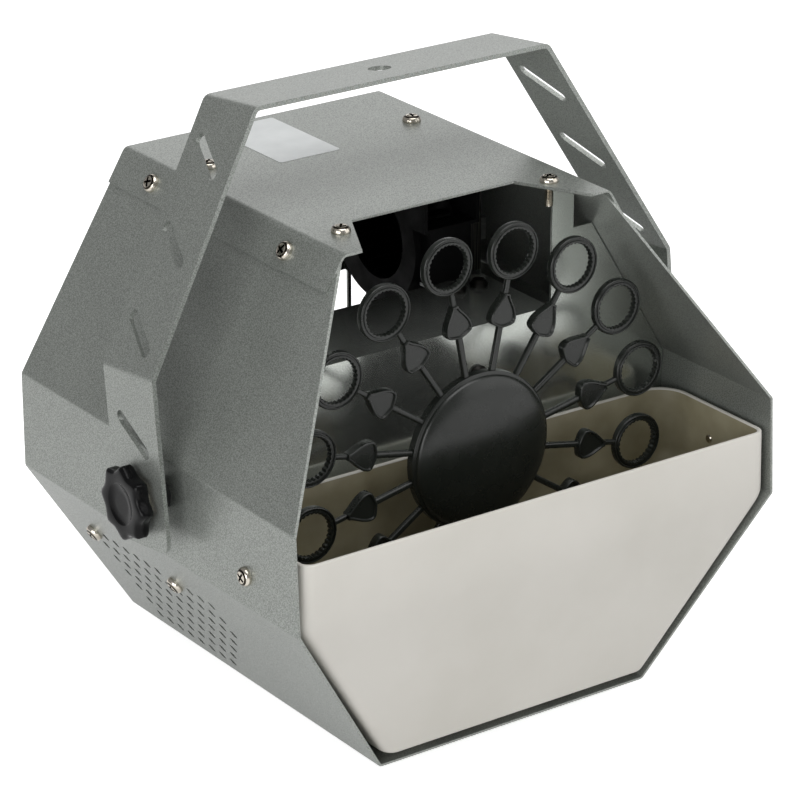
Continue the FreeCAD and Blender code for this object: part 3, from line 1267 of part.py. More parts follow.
def top_fixings():
    """The front pair is tapped into the housing's lips and the rear pair has nuts."""
    up = Vector(0, 0, 1)
    front, rear = [Vector(x, y, SHELL_HEIGHT + COVER_SHEET) for x, y in TOP_SPOTS]
    tapped = aimed(pan_screw(HEAD_R, HEAD_H, SCREW_R, FRONT_SHANK), front, up)
    screw, nut = screw_and_nut(rear, up, COVER_SHEET + SHEET, TIP_SHOW)
    return side_pair(tapped) + side_pair(screw), side_pair(nut)


def flange_fixings():
    front = fixings(FLANGE_SPOTS[:1], COVER_SHEET, COVER_SHEET + SHEET)
    rear = fixings(FLANGE_SPOTS[1:], COVER_SHEET, COVER_SHEET + SHEET + INNER_SHEET)
    return front[0] + rear[0], front[1] + rear[1]


def chassis_fixings():
    return fixings(CHASSIS_SPOTS, 0.0, SHEET + INNER_SHEET)


def tank_fixings():
    """Screws through the housing's sides, tapped into the tank's walls."""
    flat, s, y = TANK_SPOT
    slant = (TANK_TOP_HALF - TANK_MID_HALF) / (TANK_TOP_Z - CREASE_LOW)
    wall_x = TANK_MID_HALF + slant * (TANK_SCREW_Z - CREASE_LOW) - TANK_WALL
    screw = pan_screw(HEAD_R, HEAD_H, SCREW_R, HALF_WIDTH - wall_x + TANK_TIP)
    return side_pair(aimed(screw, flat.at(s, y), flat.outward))


def feet():
    pads, screws, nuts = [], [], []
    for x, y in FOOT_SPOTS:
        pad = Part.makeCone(FOOT_R - 1, FOOT_R, FOOT_H, Vector(x, y, -FOOT_H))
        well = cylinder(HEAD_R + 0.5, Vector(x, y, -FOOT_H - 1), Vector(0, 0, 1), HEAD_H + 1.8)
        shank = cylinder(SCREW_HOLE_R, Vector(x, y, -FOOT_H), Vector(0, 0, 1), FOOT_H)
        pads.append(pad.cut([well, shank]))
        seat = Vector(x, y, -FOOT_H + HEAD_H + 0.8)
        grip = -seat.z + SHEET
        screw, nut = screw_and_nut(seat, Vector(0, 0, -1), grip, 0.6)
        screws.append(screw)
        nuts.append(nut)
    return pads, screws, nuts


# ---- assembly ------------------------------------------------------------------------------------------

def all_pieces():
    top_screws, top_nuts = top_fixings()
    flange_screws, flange_nuts = flange_fixings()
    chassis_screws, chassis_nuts = chassis_fixings()
    rubber_feet, foot_screws, foot_nuts = feet()
    return {
        "housing_shell": [housing_shell()],
        "top_cover": [top_cover()],
        "partition": [partition()],
        "rear_panel": [rear_panel()],
        "tank": [tank()],
        "tank_pads": tank_pads(),
        "wand_wheel": [wand_wheel()],
        "hub_cap": [hub_cap()],
        "wheel_shaft": [wheel_shaft()],
        "wheel_clip": [wheel_clip()],
        "wheel_motor": [wheel_motor()],
        "wheel_motor_screws": wheel_motor_fixings(),
        "blower_scroll": [blower_scroll()],
        "blower_cover": [blower_cover()],
        "blower_impeller": [impeller()],
        "fan_shaft": [fan_shaft()],
        "fan_motor_stack": [fan_motor_stack()],
        "fan_motor_coil": [fan_motor_coil()],
        "fan_motor_bearings": fan_motor_bearings(),
        "fan_motor_posts": fan_motor_posts(),
        "blower_bracket": [blower_bracket()],
        "blower_screws": blower_fixings(),
        "power_inlet": [power_inlet()],
        "inlet_pins": inlet_pins(),
        "inlet_screws": inlet_screws(),
        "fuse_holder": [fuse_holder()],
        "fuse_cap": [fuse_cap()],
        "switch_body": [switch_body()],
        "power_rocker": [power_rocker()],
        "terminal_block": [terminal_block()],
        "carry_handle": [carry_handle()],
        "handle_spacers": side_pair(handle_spacer()),
        "washer_right": [handle_washer()],
        "washer_left": [mirrored(handle_washer())],
        "knob_right": [clamp_knob()],
        "knob_left": [mirrored(clamp_knob())],
        "stud_right": [knob_stud()],
        "stud_left": [mirrored(knob_stud())],
        "weld_nuts": weld_nuts(),
        "top_screws": top_screws,
        "flange_screws": flange_screws,
        "chassis_screws": chassis_screws,
        "tank_screws": tank_fixings(),
        "cover_nuts": top_nuts + flange_nuts,
        "chassis_nuts": chassis_nuts,
        "rubber_feet": rubber_feet,
        "foot_screws": foot_screws,
        "foot_nuts": foot_nuts,
    }


REAR_REACH = REAR_Y + FUSE_CAP_H        # rearmost face, on the fuse cap
ORIGIN_SHIFT = Vector(0, -REAR_REACH / 2, FOOT_H)


def main():
    os.makedirs(PARTS, exist_ok=True)
    for node, solids in all_pieces().items():
        shape = solids[0] if len(solids) == 1 else Part.makeCompound(solids)
        shape.translate(ORIGIN_SHIFT)
        shape.exportStep(os.path.join(PARTS, node + ".step"))


if __name__ == "__main__":
    main()
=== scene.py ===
import bmesh
import bpy
import math
from mathutils import Matrix, Vector


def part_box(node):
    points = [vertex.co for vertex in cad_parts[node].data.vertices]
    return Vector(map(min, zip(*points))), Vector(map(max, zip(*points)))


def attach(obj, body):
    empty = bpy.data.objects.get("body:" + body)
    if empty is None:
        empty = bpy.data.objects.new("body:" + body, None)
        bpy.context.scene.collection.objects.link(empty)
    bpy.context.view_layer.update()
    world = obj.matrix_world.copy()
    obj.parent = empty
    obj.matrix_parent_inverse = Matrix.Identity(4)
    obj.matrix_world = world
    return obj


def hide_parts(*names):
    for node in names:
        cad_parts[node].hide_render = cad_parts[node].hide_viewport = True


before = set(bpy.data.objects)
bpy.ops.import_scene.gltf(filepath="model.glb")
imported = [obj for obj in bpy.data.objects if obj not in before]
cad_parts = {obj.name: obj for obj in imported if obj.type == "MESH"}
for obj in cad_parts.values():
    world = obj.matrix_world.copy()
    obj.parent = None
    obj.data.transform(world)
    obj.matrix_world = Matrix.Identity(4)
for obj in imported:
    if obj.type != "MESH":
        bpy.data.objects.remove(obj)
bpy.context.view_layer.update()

MM = 0.001

# camera, in metres and degrees
CAMERA_PLACE = Vector((-0.8803, -1.2385, 0.7572))
CAMERA_AZIMUTH = -35.54
CAMERA_ELEVATION = 22.57
CAMERA_LENS = 169.4
SENSOR_WIDTH = 36.0
CAMERA_NEAR = 0.05
CAMERA_FAR = 50.0

# corners of the housing's right side, as half width and height in millimetres
TOP_CORNER = (68.2, 220.0)
HIGH_CREASE = (125.0, 127.3)
LOW_CREASE = (125.0, 83.2)
FLOOR_CORNER = (70.9, 0.0)

# pan-head screws, and the angles that their recesses stopped at, in degrees
HEAD_R = 4.2 * MM
HEAD_H = 3.1 * MM
CROWN_SHARE = 0.62          # radius of the crown's edge, as a share of the head's
EDGE_SHARE = 0.4            # height of the head's widest edge, as a share of the head's
SHANK_R = 2.0 * MM
SHORT_SHANK = 6.6 * MM
TANK_SHANK = 6.0 * MM
RECESS_R = 2.7 * MM
RECESS_DEPTH = 2.1 * MM
RECESS_WING = 1.1 * MM
RECESS_VALUE = "recess"     # face value that is 1 inside a driver recess, where painted shade darkens the plating
THREAD_PITCH = 0.7 * MM
FRONT_TOP_STOPS = (20, 50)
REAR_TOP_STOPS = (75, 35)
FLANGE_STOPS = (10, 65, 40, 25)
CHASSIS_STOPS = (30, 70, 5, 55)
TANK_STOPS = (15, 60)

# wand wheel
WANDS = 16
WAND_PHASE = 11.1
RING_CENTRE_R = 88.0 * MM
RING_R = 12.6 * MM
RING_HOLE_R = 10.0 * MM
RING_TOOTH = 0.6 * MM
RING_TEETH = 30
RING_THICK = 3.2 * MM
RING_GROOVE = 0.55 * MM
SPADE_INNER_R = 54.5 * MM
SPADE_TIP_R = 69.5 * MM
SPADE_HALF = 6.6 * MM
SPADE_THICK = 4.4 * MM
SPOKE_R = 1.35 * MM
HUB_R = 35.6 * MM
HUB_PLATE_R = 33.9 * MM
HUB_PLATE_THICK = 3.6 * MM
SHAFT_BORE_R = 3.02 * MM
BOSS_R = 8.0 * MM

# tank, heights measured from its floor
TANK_CREASE = 77.0 * MM
TANK_HALF = (69.5 * MM, 122.2 * MM, 121.0 * MM)     # at the floor, the crease and the rim
TANK_FRONT = (15.8 * MM, 0.4 * MM, 0.0)             # behind the foremost edge, the same heights
TANK_WALL = 2.0 * MM
TANK_FRONT_R = 6.0 * MM
TANK_REAR_R = 15.0 * MM
SIDE_FOLD = 2.5 * MM
FRONT_FOLD = 7.0 * MM
TANK_CORNER_STEPS = 10
INSIDE_VALUE = "inside"     # face value that is 1 inside the tank, where painted shade darkens the plastic

# clamp knobs
KNOB_LOBES = 8
KNOB_DIP = 2.6 * MM
KNOB_NECK = 1.2 * MM
KNOB_NECK_R = 9.0 * MM

# paper sticker on the cover
STICKER_LEFT = -25.6 * MM
STICKER_RIGHT = 6.0 * MM
STICKER_LENGTH = 54.0 * MM
STICKER_FROM_REAR = 4.2 * MM
STICKER_THICK = 0.15 * MM


# ---- finishes -------------------------------------------------------------------------

def srgb(red, green, blue):
    """A colour given the way a paint card gives it, 0 to 255, made linear."""
    def linear(value):
        value /= 255.0
        return value / 12.92 if value <= 0.04045 else ((value + 0.055) / 1.055) ** 2.4
    return (linear(red), linear(green), linear(blue), 1.0)


class Finish:
    """A Principled material whose colour, gloss and relief come from solid textures."""

    def __init__(self, name, roughness=0.5, metallic=0.0, coat=0.0, coat_roughness=0.1):
        self.material = bpy.data.materials.new(name)
        self.material.use_nodes = True
        tree = self.material.node_tree
        self.nodes, self.links = tree.nodes, tree.links
        self.shader = self.nodes["Principled BSDF"]
        self.shader.inputs["Roughness"].default_value = roughness
        self.shader.inputs["Metallic"].default_value = metallic
        self.shader.inputs["Coat Weight"].default_value = coat
        self.shader.inputs["Coat Roughness"].default_value = coat_roughness
        self.place = self.nodes.new("ShaderNodeTexCoord").outputs["Object"]
        self.height = None

    def noise(self, size, detail=3.0, stretch=(1, 1, 1)):
        """Noise whose features are about as large as size, in metres."""
        mapping = self.nodes.new("ShaderNodeMapping")
        mapping.inputs["Scale"].default_value = stretch
        self.links.new(self.place, mapping.inputs["Vector"])
        texture = self.nodes.new("ShaderNodeTexNoise")
        texture.inputs["Scale"].default_value = 1.0 / size
        texture.inputs["Detail"].default_value = detail
        self.links.new(mapping.outputs["Vector"], texture.inputs["Vector"])
        return texture.outputs["Fac"]

    def cells(self, size, smooth=0.6):
        """Soft round cells about as large as size, in metres."""
        texture = self.nodes.new("ShaderNodeTexVoronoi")
        texture.feature = "SMOOTH_F1"
        texture.inputs["Scale"].default_value = 1.0 / size
        texture.inputs["Smoothness"].default_value = smooth
        self.links.new(self.place, texture.inputs["Vector"])
        return texture.outputs["Distance"]

    def ramp(self, source, stops):
        node = self.nodes.new("ShaderNodeValToRGB")
        elements = node.color_ramp.elements
        elements[0].position, elements[0].color = stops[0]
        elements[1].position, elements[1].color = stops[-1]
        for position, colour in stops[1:-1]:
            elements.new(position).color = colour
        self.links.new(source, node.inputs["Fac"])
        return node.outputs["Color"]

    def mix(self, factor, first, second, blend="MIX"):
        node = self.nodes.new("ShaderNodeMix")
        node.data_type = "RGBA"
        node.blend_type = blend
        if isinstance(factor, float):
            node.inputs[0].default_value = factor
        else:
            self.links.new(factor, node.inputs[0])
        self.links.new(first, node.inputs[6])
        self.links.new(second, node.inputs[7])
        return node.outputs[2]

    def colour(self, source):
        self.links.new(source, self.shader.inputs["Base Color"])

    def gloss(self, source, low, high):
        """Roughness that wanders between two values."""
        node = self.nodes.new("ShaderNodeMapRange")
        node.inputs["From Min"].default_value = 0.3
        node.inputs["From Max"].default_value = 0.7
        node.inputs["To Min"].default_value = low
        node.inputs["To Max"].default_value = high
        self.links.new(source, node.inputs["Value"])
        self.links.new(node.outputs["Result"], self.shader.inputs["Roughness"])

    def relief(self, source, depth, strength):
        """Bump with a depth in metres, laid over any relief that is already there."""
        node = self.nodes.new("ShaderNodeBump")
        node.inputs["Strength"].default_value = strength
        node.inputs["Distance"].default_value = depth
        self.links.new(source, node.inputs["Height"])
        if self.height is not None:
            self.links.new(self.height, node.inputs["Normal"])
        self.height = node.outputs["Normal"]
        self.links.new(self.height, self.shader.inputs["Normal"])


def hammered_enamel(name, light, dark):
    """Silver-grey enamel with metal flake: fine specks over a faintly dimpled film."""
    finish = Finish(name, roughness=0.36, metallic=0.5, coat=0.2, coat_roughness=0.2)
    speck = finish.noise(0.55 * MM, detail=2.0)
    flake = finish.ramp(speck, [(0.36, dark), (0.50, mixed(dark, light, 0.55)), (0.64, light)])
    cloud = finish.noise(28 * MM, detail=2.0)
    tint = finish.ramp(cloud, [(0.3, (0.94, 0.94, 0.94, 1)), (0.7, (1.0, 1.0, 1.0, 1))])
    finish.colour(finish.mix(1.0, flake, tint, "MULTIPLY"))
    finish.gloss(finish.noise(0.9 * MM), 0.30, 0.44)
    finish.relief(finish.cells(1.4 * MM), 0.035 * MM, 0.45)
    finish.relief(speck, 0.02 * MM, 0.3)
    return finish.material


def smooth_enamel(name, light, dark):
    """Bright glossy coat of the inner plates, with long soft waves from the rolled sheet."""
    finish = Finish(name, roughness=0.2, metallic=0.88, coat=0.2, coat_roughness=0.12)
    speck = finish.noise(0.7 * MM, detail=2.0)
    waves = finish.noise(30 * MM, detail=1.5, stretch=(1.0, 1.0, 0.35))
    tint = finish.ramp(waves, [(0.3, (0.90, 0.91, 0.90, 1)), (0.7, (1.0, 1.0, 1.0, 1))])
    flake = finish.ramp(speck, [(0.36, dark), (0.64, light)])
    finish.colour(finish.mix(1.0, flake, tint, "MULTIPLY"))
    finish.gloss(finish.noise(14 * MM, detail=2.0), 0.16, 0.25)
    finish.relief(waves, 0.4 * MM, 0.3)
    finish.relief(speck, 0.012 * MM, 0.3)
    return finish.material


def mixed(first, second, share):
    return tuple(a + (b - a) * share for a, b in zip(first, second))


def moulded_plastic(name, light, dark, roughness, cloud=35 * MM, specular=0.5, inside_shaded=False):
    """Moulded plastic: slow change of tone, fine spark-eroded grain, uneven gloss."""
    finish = Finish(name, roughness=roughness)
    finish.shader.inputs["Specular IOR Level"].default_value = specular
    clouded = finish.ramp(finish.noise(cloud, detail=4.0), [(0.3, dark), (0.7, light)])
    # painted shade on the faces inside the tank, when asked for
    if inside_shaded:
        painted_inside_shade(finish, clouded)
    else:
        finish.colour(clouded)
    finish.gloss(finish.noise(9 * MM, detail=5.0), roughness * 0.85, min(1.0, roughness * 1.2))
    finish.relief(finish.noise(0.5 * MM, detail=2.0), 0.02 * MM, 0.5)
    finish.relief(finish.noise(60 * MM, detail=1.0), 0.5 * MM, 0.25)
    return finish.material


def painted_inside_shade(finish, outside):
    """Painted shade: a darker, yellower tone laid on the faces inside the tank."""
    shade_tone = finish.ramp(finish.noise(24 * MM, detail=4.0),
                       [(0.3, srgb(134, 127, 102)), (0.7, srgb(166, 159, 134))])
    inside = finish.nodes.new("ShaderNodeAttribute")
    inside.attribute_name = INSIDE_VALUE
    finish.colour(finish.mix(inside.outputs["Fac"], outside, shade_tone))


def plated(name, light, dark, roughness):
    """Plated metal: clouded tone, fine handling marks, and painted shade that darkens the driver
    recesses.
    """
    finish = Finish(name, roughness=roughness, metallic=1.0)
    clouded = finish.ramp(finish.noise(4 * MM, detail=4.0), [(0.3, dark), (0.7, light)])
    # painted shade: faces inside a driver recess take a dark brown tone in place of the plating's
    # own
    recess_shade_mask = finish.nodes.new("ShaderNodeAttribute")
    recess_shade_mask.attribute_name = RECESS_VALUE
    painted_recess_shade = finish.ramp(finish.noise(1.2 * MM), [(0.3, srgb(38, 35, 30)), (0.7, srgb(70, 65, 56))])
    finish.colour(finish.mix(recess_shade_mask.outputs["Fac"], clouded, painted_recess_shade))
    finish.gloss(finish.noise(2.5 * MM, detail=4.0), roughness * 0.7, roughness * 1.5)
    finish.relief(finish.noise(0.35 * MM, detail=2.0), 0.01 * MM, 0.6)
    return finish.material


def rubber(name):
    finish = Finish(name, roughness=0.75)
    finish.colour(finish.ramp(finish.noise(6 * MM),
                              [(0.3, srgb(24, 24, 24)), (0.7, srgb(36, 36, 35))]))
    finish.gloss(finish.noise(3 * MM), 0.65, 0.85)
    finish.relief(finish.noise(0.4 * MM), 0.03 * MM, 0.6)
    return finish.material


def wound_tape(name):
    """Yellow polyester tape round a coil, in overlapping turns."""
    finish = Finish(name, roughness=0.35, coat=0.3)
    turns = finish.noise(3.0 * MM, detail=1.0, stretch=(0.1, 2.0, 0.1))
    finish.colour(finish.ramp(turns, [(0.35, srgb(150, 118, 52)), (0.65, srgb(190, 156, 78))]))
    finish.gloss(finish.noise(2 * MM), 0.28, 0.45)
    finish.relief(turns, 0.15 * MM, 0.6)
    return finish.material


def lamination_stack(name):
    """Edges of stacked steel sheets with a thin oil film."""
    finish = Finish(name, roughness=0.42, metallic=1.0)
    sheets = finish.noise(0.7 * MM, detail=0.0, stretch=(1.0, 0.02, 0.02))
    finish.colour(finish.ramp(sheets, [(0.4, srgb(96, 94, 90)), (0.6, srgb(150, 148, 142))]))
    finish.gloss(finish.noise(3 * MM), 0.35, 0.55)
    finish.relief(sheets, 0.05 * MM, 0.5)
    return finish.material


def sticker_paper(name):
    finish = Finish(name, roughness=0.45)
    finish.colour(finish.ramp(finish.noise(12 * MM),
                              [(0.3, srgb(216, 219, 219)), (0.7, srgb(226, 229, 229))]))
    finish.gloss(finish.noise(5 * MM), 0.38, 0.52)
    finish.relief(finish.noise(0.5 * MM), 0.015 * MM, 0.5)
    return finish.material


ENAMEL = hammered_enamel("hammered_enamel", srgb(164, 168, 163), srgb(122, 126, 121))
INNER_ENAMEL = smooth_enamel("inner_enamel", srgb(218, 222, 216), srgb(198, 202, 197))
# the tank's inside faces get painted shade
TANK = moulded_plastic("tank_plastic", srgb(213, 210, 203), srgb(205, 202, 194), 0.42,
                       cloud=60 * MM, inside_shaded=True)
BLACK = moulded_plastic("wheel_plastic", srgb(31, 34, 31), srgb(23, 26, 23), 0.27)
KNOB_BLACK = moulded_plastic("knob_plastic", srgb(14, 14, 15), srgb(10, 10, 11), 0.2,
                             specular=0.14)
SCROLL_BLACK = moulded_plastic("blower_plastic", srgb(14, 14, 15), srgb(9, 9, 10), 0.65,
                               specular=0.2)
SWITCH_BLACK = moulded_plastic("switch_plastic", srgb(26, 26, 27), srgb(20, 20, 20), 0.3)
TERMINAL = moulded_plastic("terminal_plastic", srgb(222, 220, 208), srgb(206, 204, 192), 0.4)
NICKEL = plated("nickel_plate", srgb(226, 220, 208), srgb(196, 188, 174), 0.16)
BLACKENED = plated("blackened_steel", srgb(52, 51, 49), srgb(38, 37, 36), 0.4)
ZINC = plated("zinc_plate", srgb(196, 197, 196), srgb(160, 162, 162), 0.34)
TURNED = plated("turned_steel", srgb(190, 190, 188), srgb(158, 158, 156), 0.24)
BRASS = plated("brass_pin", srgb(216, 182, 108), srgb(188, 152, 82), 0.22)
RUBBER = rubber("black_rubber")
TAPE = wound_tape("coil_tape")
LAMINATIONS = lamination_stack("laminations")
PAPER = sticker_paper("sticker_paper")

NODE_FINISH = {
    ENAMEL: ("housing_shell", "top_cover", "rear_panel", "carry_handle"),
    INNER_ENAMEL: ("partition",),
    TANK: ("tank",),
    BLACK: ("wand_wheel", "hub_cap"),
    KNOB_BLACK: ("knob_right", "knob_left"),
    SCROLL_BLACK: ("blower_scroll", "blower_cover", "blower_impeller"),
    SWITCH_BLACK: ("power_inlet", "fuse_holder", "fuse_cap", "switch_body", "power_rocker"),
    TERMINAL: ("terminal_block",),
    NICKEL: ("top_screws", "flange_screws", "chassis_screws", "tank_screws", "washer_right",
             "washer_left", "inlet_screws", "foot_screws"),
    BLACKENED: ("blower_screws", "wheel_motor_screws"),
    ZINC: ("wheel_motor", "blower_bracket", "fan_motor_bearings", "cover_nuts", "chassis_nuts",
           "foot_nuts", "weld_nuts"),
    TURNED: ("wheel_shaft", "wheel_clip", "fan_shaft", "fan_motor_posts", "stud_right",
             "stud_left"),
    BRASS: ("inlet_pins",),
    RUBBER: ("tank_pads", "handle_spacers", "rubber_feet"),
    TAPE: ("fan_motor_coil",),
    LAMINATIONS: ("fan_motor_stack",),
}


def paint_nodes():
    for finish, names in NODE_FINISH.items():
        for name in names:
            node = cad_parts[name]
            node.data.materials.clear()
            node.data.materials.append(finish)


# ---- mesh tools --------------------------------------------------------------------------

def piece_from(bm, name, finish, smooth_angle=35.0):
    """Make an object of a bmesh, with its normals outwards and smooth shading under an angle."""
    bmesh.ops.remove_doubles(bm, verts=bm.verts, dist=1e-6)
    bmesh.ops.recalc_face_normals(bm, faces=bm.faces)
    limit = math.radians(smooth_angle)
    for face in bm.faces:
        face.smooth = True
    for edge in bm.edges:
        if len(edge.link_faces) == 2:
            edge.smooth = edge.calc_face_angle(0.0) < limit
    mesh = bpy.data.meshes.new(name)
    bm.to_mesh(mesh)
    bm.free()
    mesh.materials.append(finish)
    piece = bpy.data.objects.new(name, mesh)
    bpy.context.scene.collection.objects.link(piece)
    return piece


def turned(bm, profile, segments):
    """Spin a profile of (radius, height) points about the Z axis."""
    verts = [bm.verts.new((radius, 0, height)) for radius, height in profile]
    edges = [bm.edges.new(pair) for pair in zip(verts, verts[1:])]
    bmesh.ops.spin(bm, geom=verts + edges, cent=(0, 0, 0), axis=(0, 0, 1), dvec=(0, 0, 0),
                   angle=2 * math.pi, steps=segments, use_merge=True)
    bmesh.ops.remove_doubles(bm, verts=bm.verts, dist=1e-7)


def bevelled(bm, edges, width, segments):
    bmesh.ops.bevel(bm, geom=edges, offset=width, offset_type="OFFSET", segments=segments,
                    profile=0.5, affect="EDGES", material=-1)


def copied(target, source, matrix):
    """Add a transformed copy of a bmesh to another one."""
    mesh = bpy.data.meshes.new("copy")
    source.to_mesh(mesh)
    mesh.transform(matrix)
    target.from_mesh(mesh)
    bpy.data.meshes.remove(mesh)


def facing(direction):
    """Rotation that turns +Z to a direction."""
    return Vector(direction).to_track_quat("Z", "Y").to_matrix().to_4x4()


def cut_away(bm, tool):
    """Boolean difference of two bmeshes, as a new bmesh."""
    objects = []
    for name, source in (("body", bm), ("tool", tool)):
        bmesh.ops.recalc_face_normals(source, faces=source.faces)
        mesh = bpy.data.meshes.new(name)
        source.to_mesh(mesh)
        source.free()
        objects.append(bpy.data.objects.new(name, mesh))
        bpy.context.scene.collection.objects.link(objects[-1])
    body, cutter = objects
    modifier = body.modifiers.new("cut", "BOOLEAN")
    modifier.operation = "DIFFERENCE"
    modifier.solver = "EXACT"
    modifier.object = cutter
    bpy.context.view_layer.update()
    result = bmesh.new()
    result.from_object(body, bpy.context.evaluated_depsgraph_get())
    for item in objects:
        mesh = item.data
        bpy.data.objects.remove(item)
        bpy.data.meshes.remove(mesh)
    return result


# ---- screws --------------------------------------------------------------------------------

def recess_wing(turn):
    """One tapered bar of the cross-shaped driver recess, pointing down from the crown."""
    wing = bmesh.new()
    bmesh.ops.create_cube(wing, size=1.0)
    for vert in wing.verts:
        low = vert.co.z < 0
        vert.co.x *= RECESS_R * (0.9 if low else 2.1)
        vert.co.y *= RECESS_WING * (0.7 if low else 1.1)
        vert.co.z = HEAD_H - RECESS_DEPTH if low else HEAD_H * 1.2
    bmesh.ops.rotate(wing, verts=wing.verts, cent=(0, 0, 0),
                     matrix=Matrix.Rotation(math.radians(turn), 3, "Z"))
    return wing


def head_blank():
    """Pan head with a rolled edge and a shallow crown, seat at Z = 0."""
    bm = bmesh.new()
    r, h = HEAD_R, HEAD_H
    turned(bm, [(0, h), (r * 0.35, h * 0.985), (r * 0.62, h * 0.92), (r * 0.82, h * 0.77),
                (r * 0.93, h * 0.58), (r * 0.985, h * 0.34), (r, h * 0.12), (r * 0.97, 0),
                (0, 0)], 40)
    return bm


def screw_blank(length):
    """Head with its recess, and a threaded shank made of close ridges."""
    bm = head_blank()
    for turn in (0, 90):
        bm = cut_away(bm, recess_wing(turn))
    # mark the faces deep in the recess, which get painted shade
    inside = bm.faces.layers.float.new(RECESS_VALUE)
    for face in bm.faces:
        spot = face.calc_center_median()
        deep = 0.2 * HEAD_H < spot.z < 0.86 * HEAD_H
        face[inside] = 1.0 if deep and math.hypot(spot.x, spot.y) < 0.72 * HEAD_R else 0.0
    ridges = max(2, round(length / THREAD_PITCH))
    pitch = length / ridges
    profile = [(0, 0)]
    for n in range(ridges):
        profile += [(SHANK_R * 0.86, -pitch * n), (SHANK_R, -pitch * (n + 0.5))]
    profile += [(SHANK_R * 0.8, -length), (0, -length)]
    turned(bm, profile, 20)
    return bm


def screw_group(name, places, length, replaced, body="housing"):
    """Equal screws at (place, direction, turn) spots, as one piece for a CAD node."""
    blank = screw_blank(length)
    bm = bmesh.new()
    bm.faces.layers.float.new(RECESS_VALUE)
    for place, direction, turn in places:
        matrix = (Matrix.Translation(place) @ facing(direction)
                  @ Matrix.Rotation(math.radians(turn), 4, "Z"))
        copied(bm, blank, matrix)
    blank.free()
    piece = piece_from(bm, name, NICKEL, smooth_angle=30.0)
    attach(piece, body)
    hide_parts(replaced)
    return piece


def head_seats(node, direction):
    """Seats of the two right-hand screws of a group, from the node's box.

    The heads' outermost points set the box, so a seat is a head's length and a slanted
    head's own reach inside it.
    """
    low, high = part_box(node)
    out = Vector(direction)
    side = math.hypot(out.y, out.z)
    lift = math.hypot(out.x, out.y)
    crown = CROWN_SHARE * HEAD_R
    reach_x = max(out.x * HEAD_H + side * crown, out.x * HEAD_H * EDGE_SHARE + side * HEAD_R)
    reach_z = (max(out.z * HEAD_H + lift * crown, out.z * HEAD_H * EDGE_SHARE + lift * HEAD_R)
               if out.z >= 0 else None)
    x = high.x - reach_x
    z = high.z - reach_z if reach_z is not None else low.z - min(
        out.z * HEAD_H - lift * crown, out.z * HEAD_H * EDGE_SHARE - lift * HEAD_R)
    return [Vector((x, y, z)) for y in (low.y + HEAD_R, high.y - HEAD_R)]


def both_hands(seats, direction, turns):
    """Mirror right-hand seats to the left, each screw stopped at its own angle."""
    out = Vector(direction)
    places = []
    for index, seat in enumerate(seats):
        places.append((seat, out, turns[2 * index]))
        places.append((Vector((-seat.x, seat.y, seat.z)), Vector((-out.x, out.y, out.z)),
                       turns[2 * index + 1]))
    return places


def slope_between(upper, lower):
    """Outward direction of a slope of the housing's right side."""
    run = Vector((lower[0] - upper[0], 0, lower[1] - upper[1])).normalized()
    return Vector((-run.z, 0, run.x))


UPPER_SLOPE = slope_between(TOP_CORNER, HIGH_CREASE)
LOWER_SLOPE = slope_between(LOW_CREASE, FLOOR_CORNER)


def screws():
    low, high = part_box("top_screws")
    x = high.x - HEAD_R
    z = high.z - HEAD_H
    up = (0, 0, 1)
    screw_group("top_screws_fine",
                both_hands([Vector((x, low.y + HEAD_R, z))], up, FRONT_TOP_STOPS),
                high.z - HEAD_H - low.z, "top_screws")
    screw_group("top_screws_rear_fine",
                both_hands([Vector((x, high.y - HEAD_R, z))], up, REAR_TOP_STOPS),
                SHORT_SHANK, "top_screws")
    screw_group("flange_screws_fine",
                both_hands(head_seats("flange_screws", UPPER_SLOPE), UPPER_SLOPE, FLANGE_STOPS),
                SHORT_SHANK, "flange_screws")
    screw_group("chassis_screws_fine",
                both_hands(head_seats("chassis_screws", LOWER_SLOPE), LOWER_SLOPE, CHASSIS_STOPS),
                SHORT_SHANK, "chassis_screws")
    low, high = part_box("tank_screws")
    seat = Vector((high.x - HEAD_H, (low.y + high.y) / 2, (low.z + high.z) / 2))
    screw_group("tank_screws_fine", both_hands([seat], (1, 0, 0), TANK_STOPS), TANK_SHANK,
                "tank_screws")


# ---- wand wheel ------------------------------------------------------------------------------

def wheel_frame():
    """Middle of the wheel, in the middle plane of its wands."""
    low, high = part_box("wand_wheel")
    return Vector(((low.x + high.x) / 2, low.y + SPADE_THICK / 2, (low.z + high.z) / 2))


def wand_ring():
    """Ring with a smooth outer lip, a groove and a toothed inner lip, about the Z axis."""
    bm = bmesh.new()
    t = RING_THICK / 2
    groove = t - RING_GROOVE
    front = [(RING_HOLE_R, t * 0.62), (RING_HOLE_R + 0.2 * MM, t * 0.92),
             (RING_HOLE_R + 0.5 * MM, t), (RING_HOLE_R + 0.8 * MM, t * 0.95),
             (RING_HOLE_R + 1.05 * MM, groove), (RING_R - 0.95 * MM, groove),
             (RING_R - 0.8 * MM, t * 0.93), (RING_R - 0.55 * MM, t), (RING_R - 0.3 * MM, t * 0.96),
             (RING_R - 0.08 * MM, t * 0.82), (RING_R, t * 0.55)]
    profile = front + [(radius, -height) for radius, height in front[::-1]] + front[:1]
    turned(bm, profile, 2 * RING_TEETH)
    inner = RING_HOLE_R + 0.55 * MM
    for vert in bm.verts:
        radius = math.hypot(vert.co.x, vert.co.y)
        if radius < inner:
            step = round(math.atan2(vert.co.y, vert.co.x) / (math.pi / RING_TEETH))
            if step % 2:
                scale = 1 - RING_TOOTH / radius
                vert.co.x *= scale
                vert.co.y *= scale
    return bm


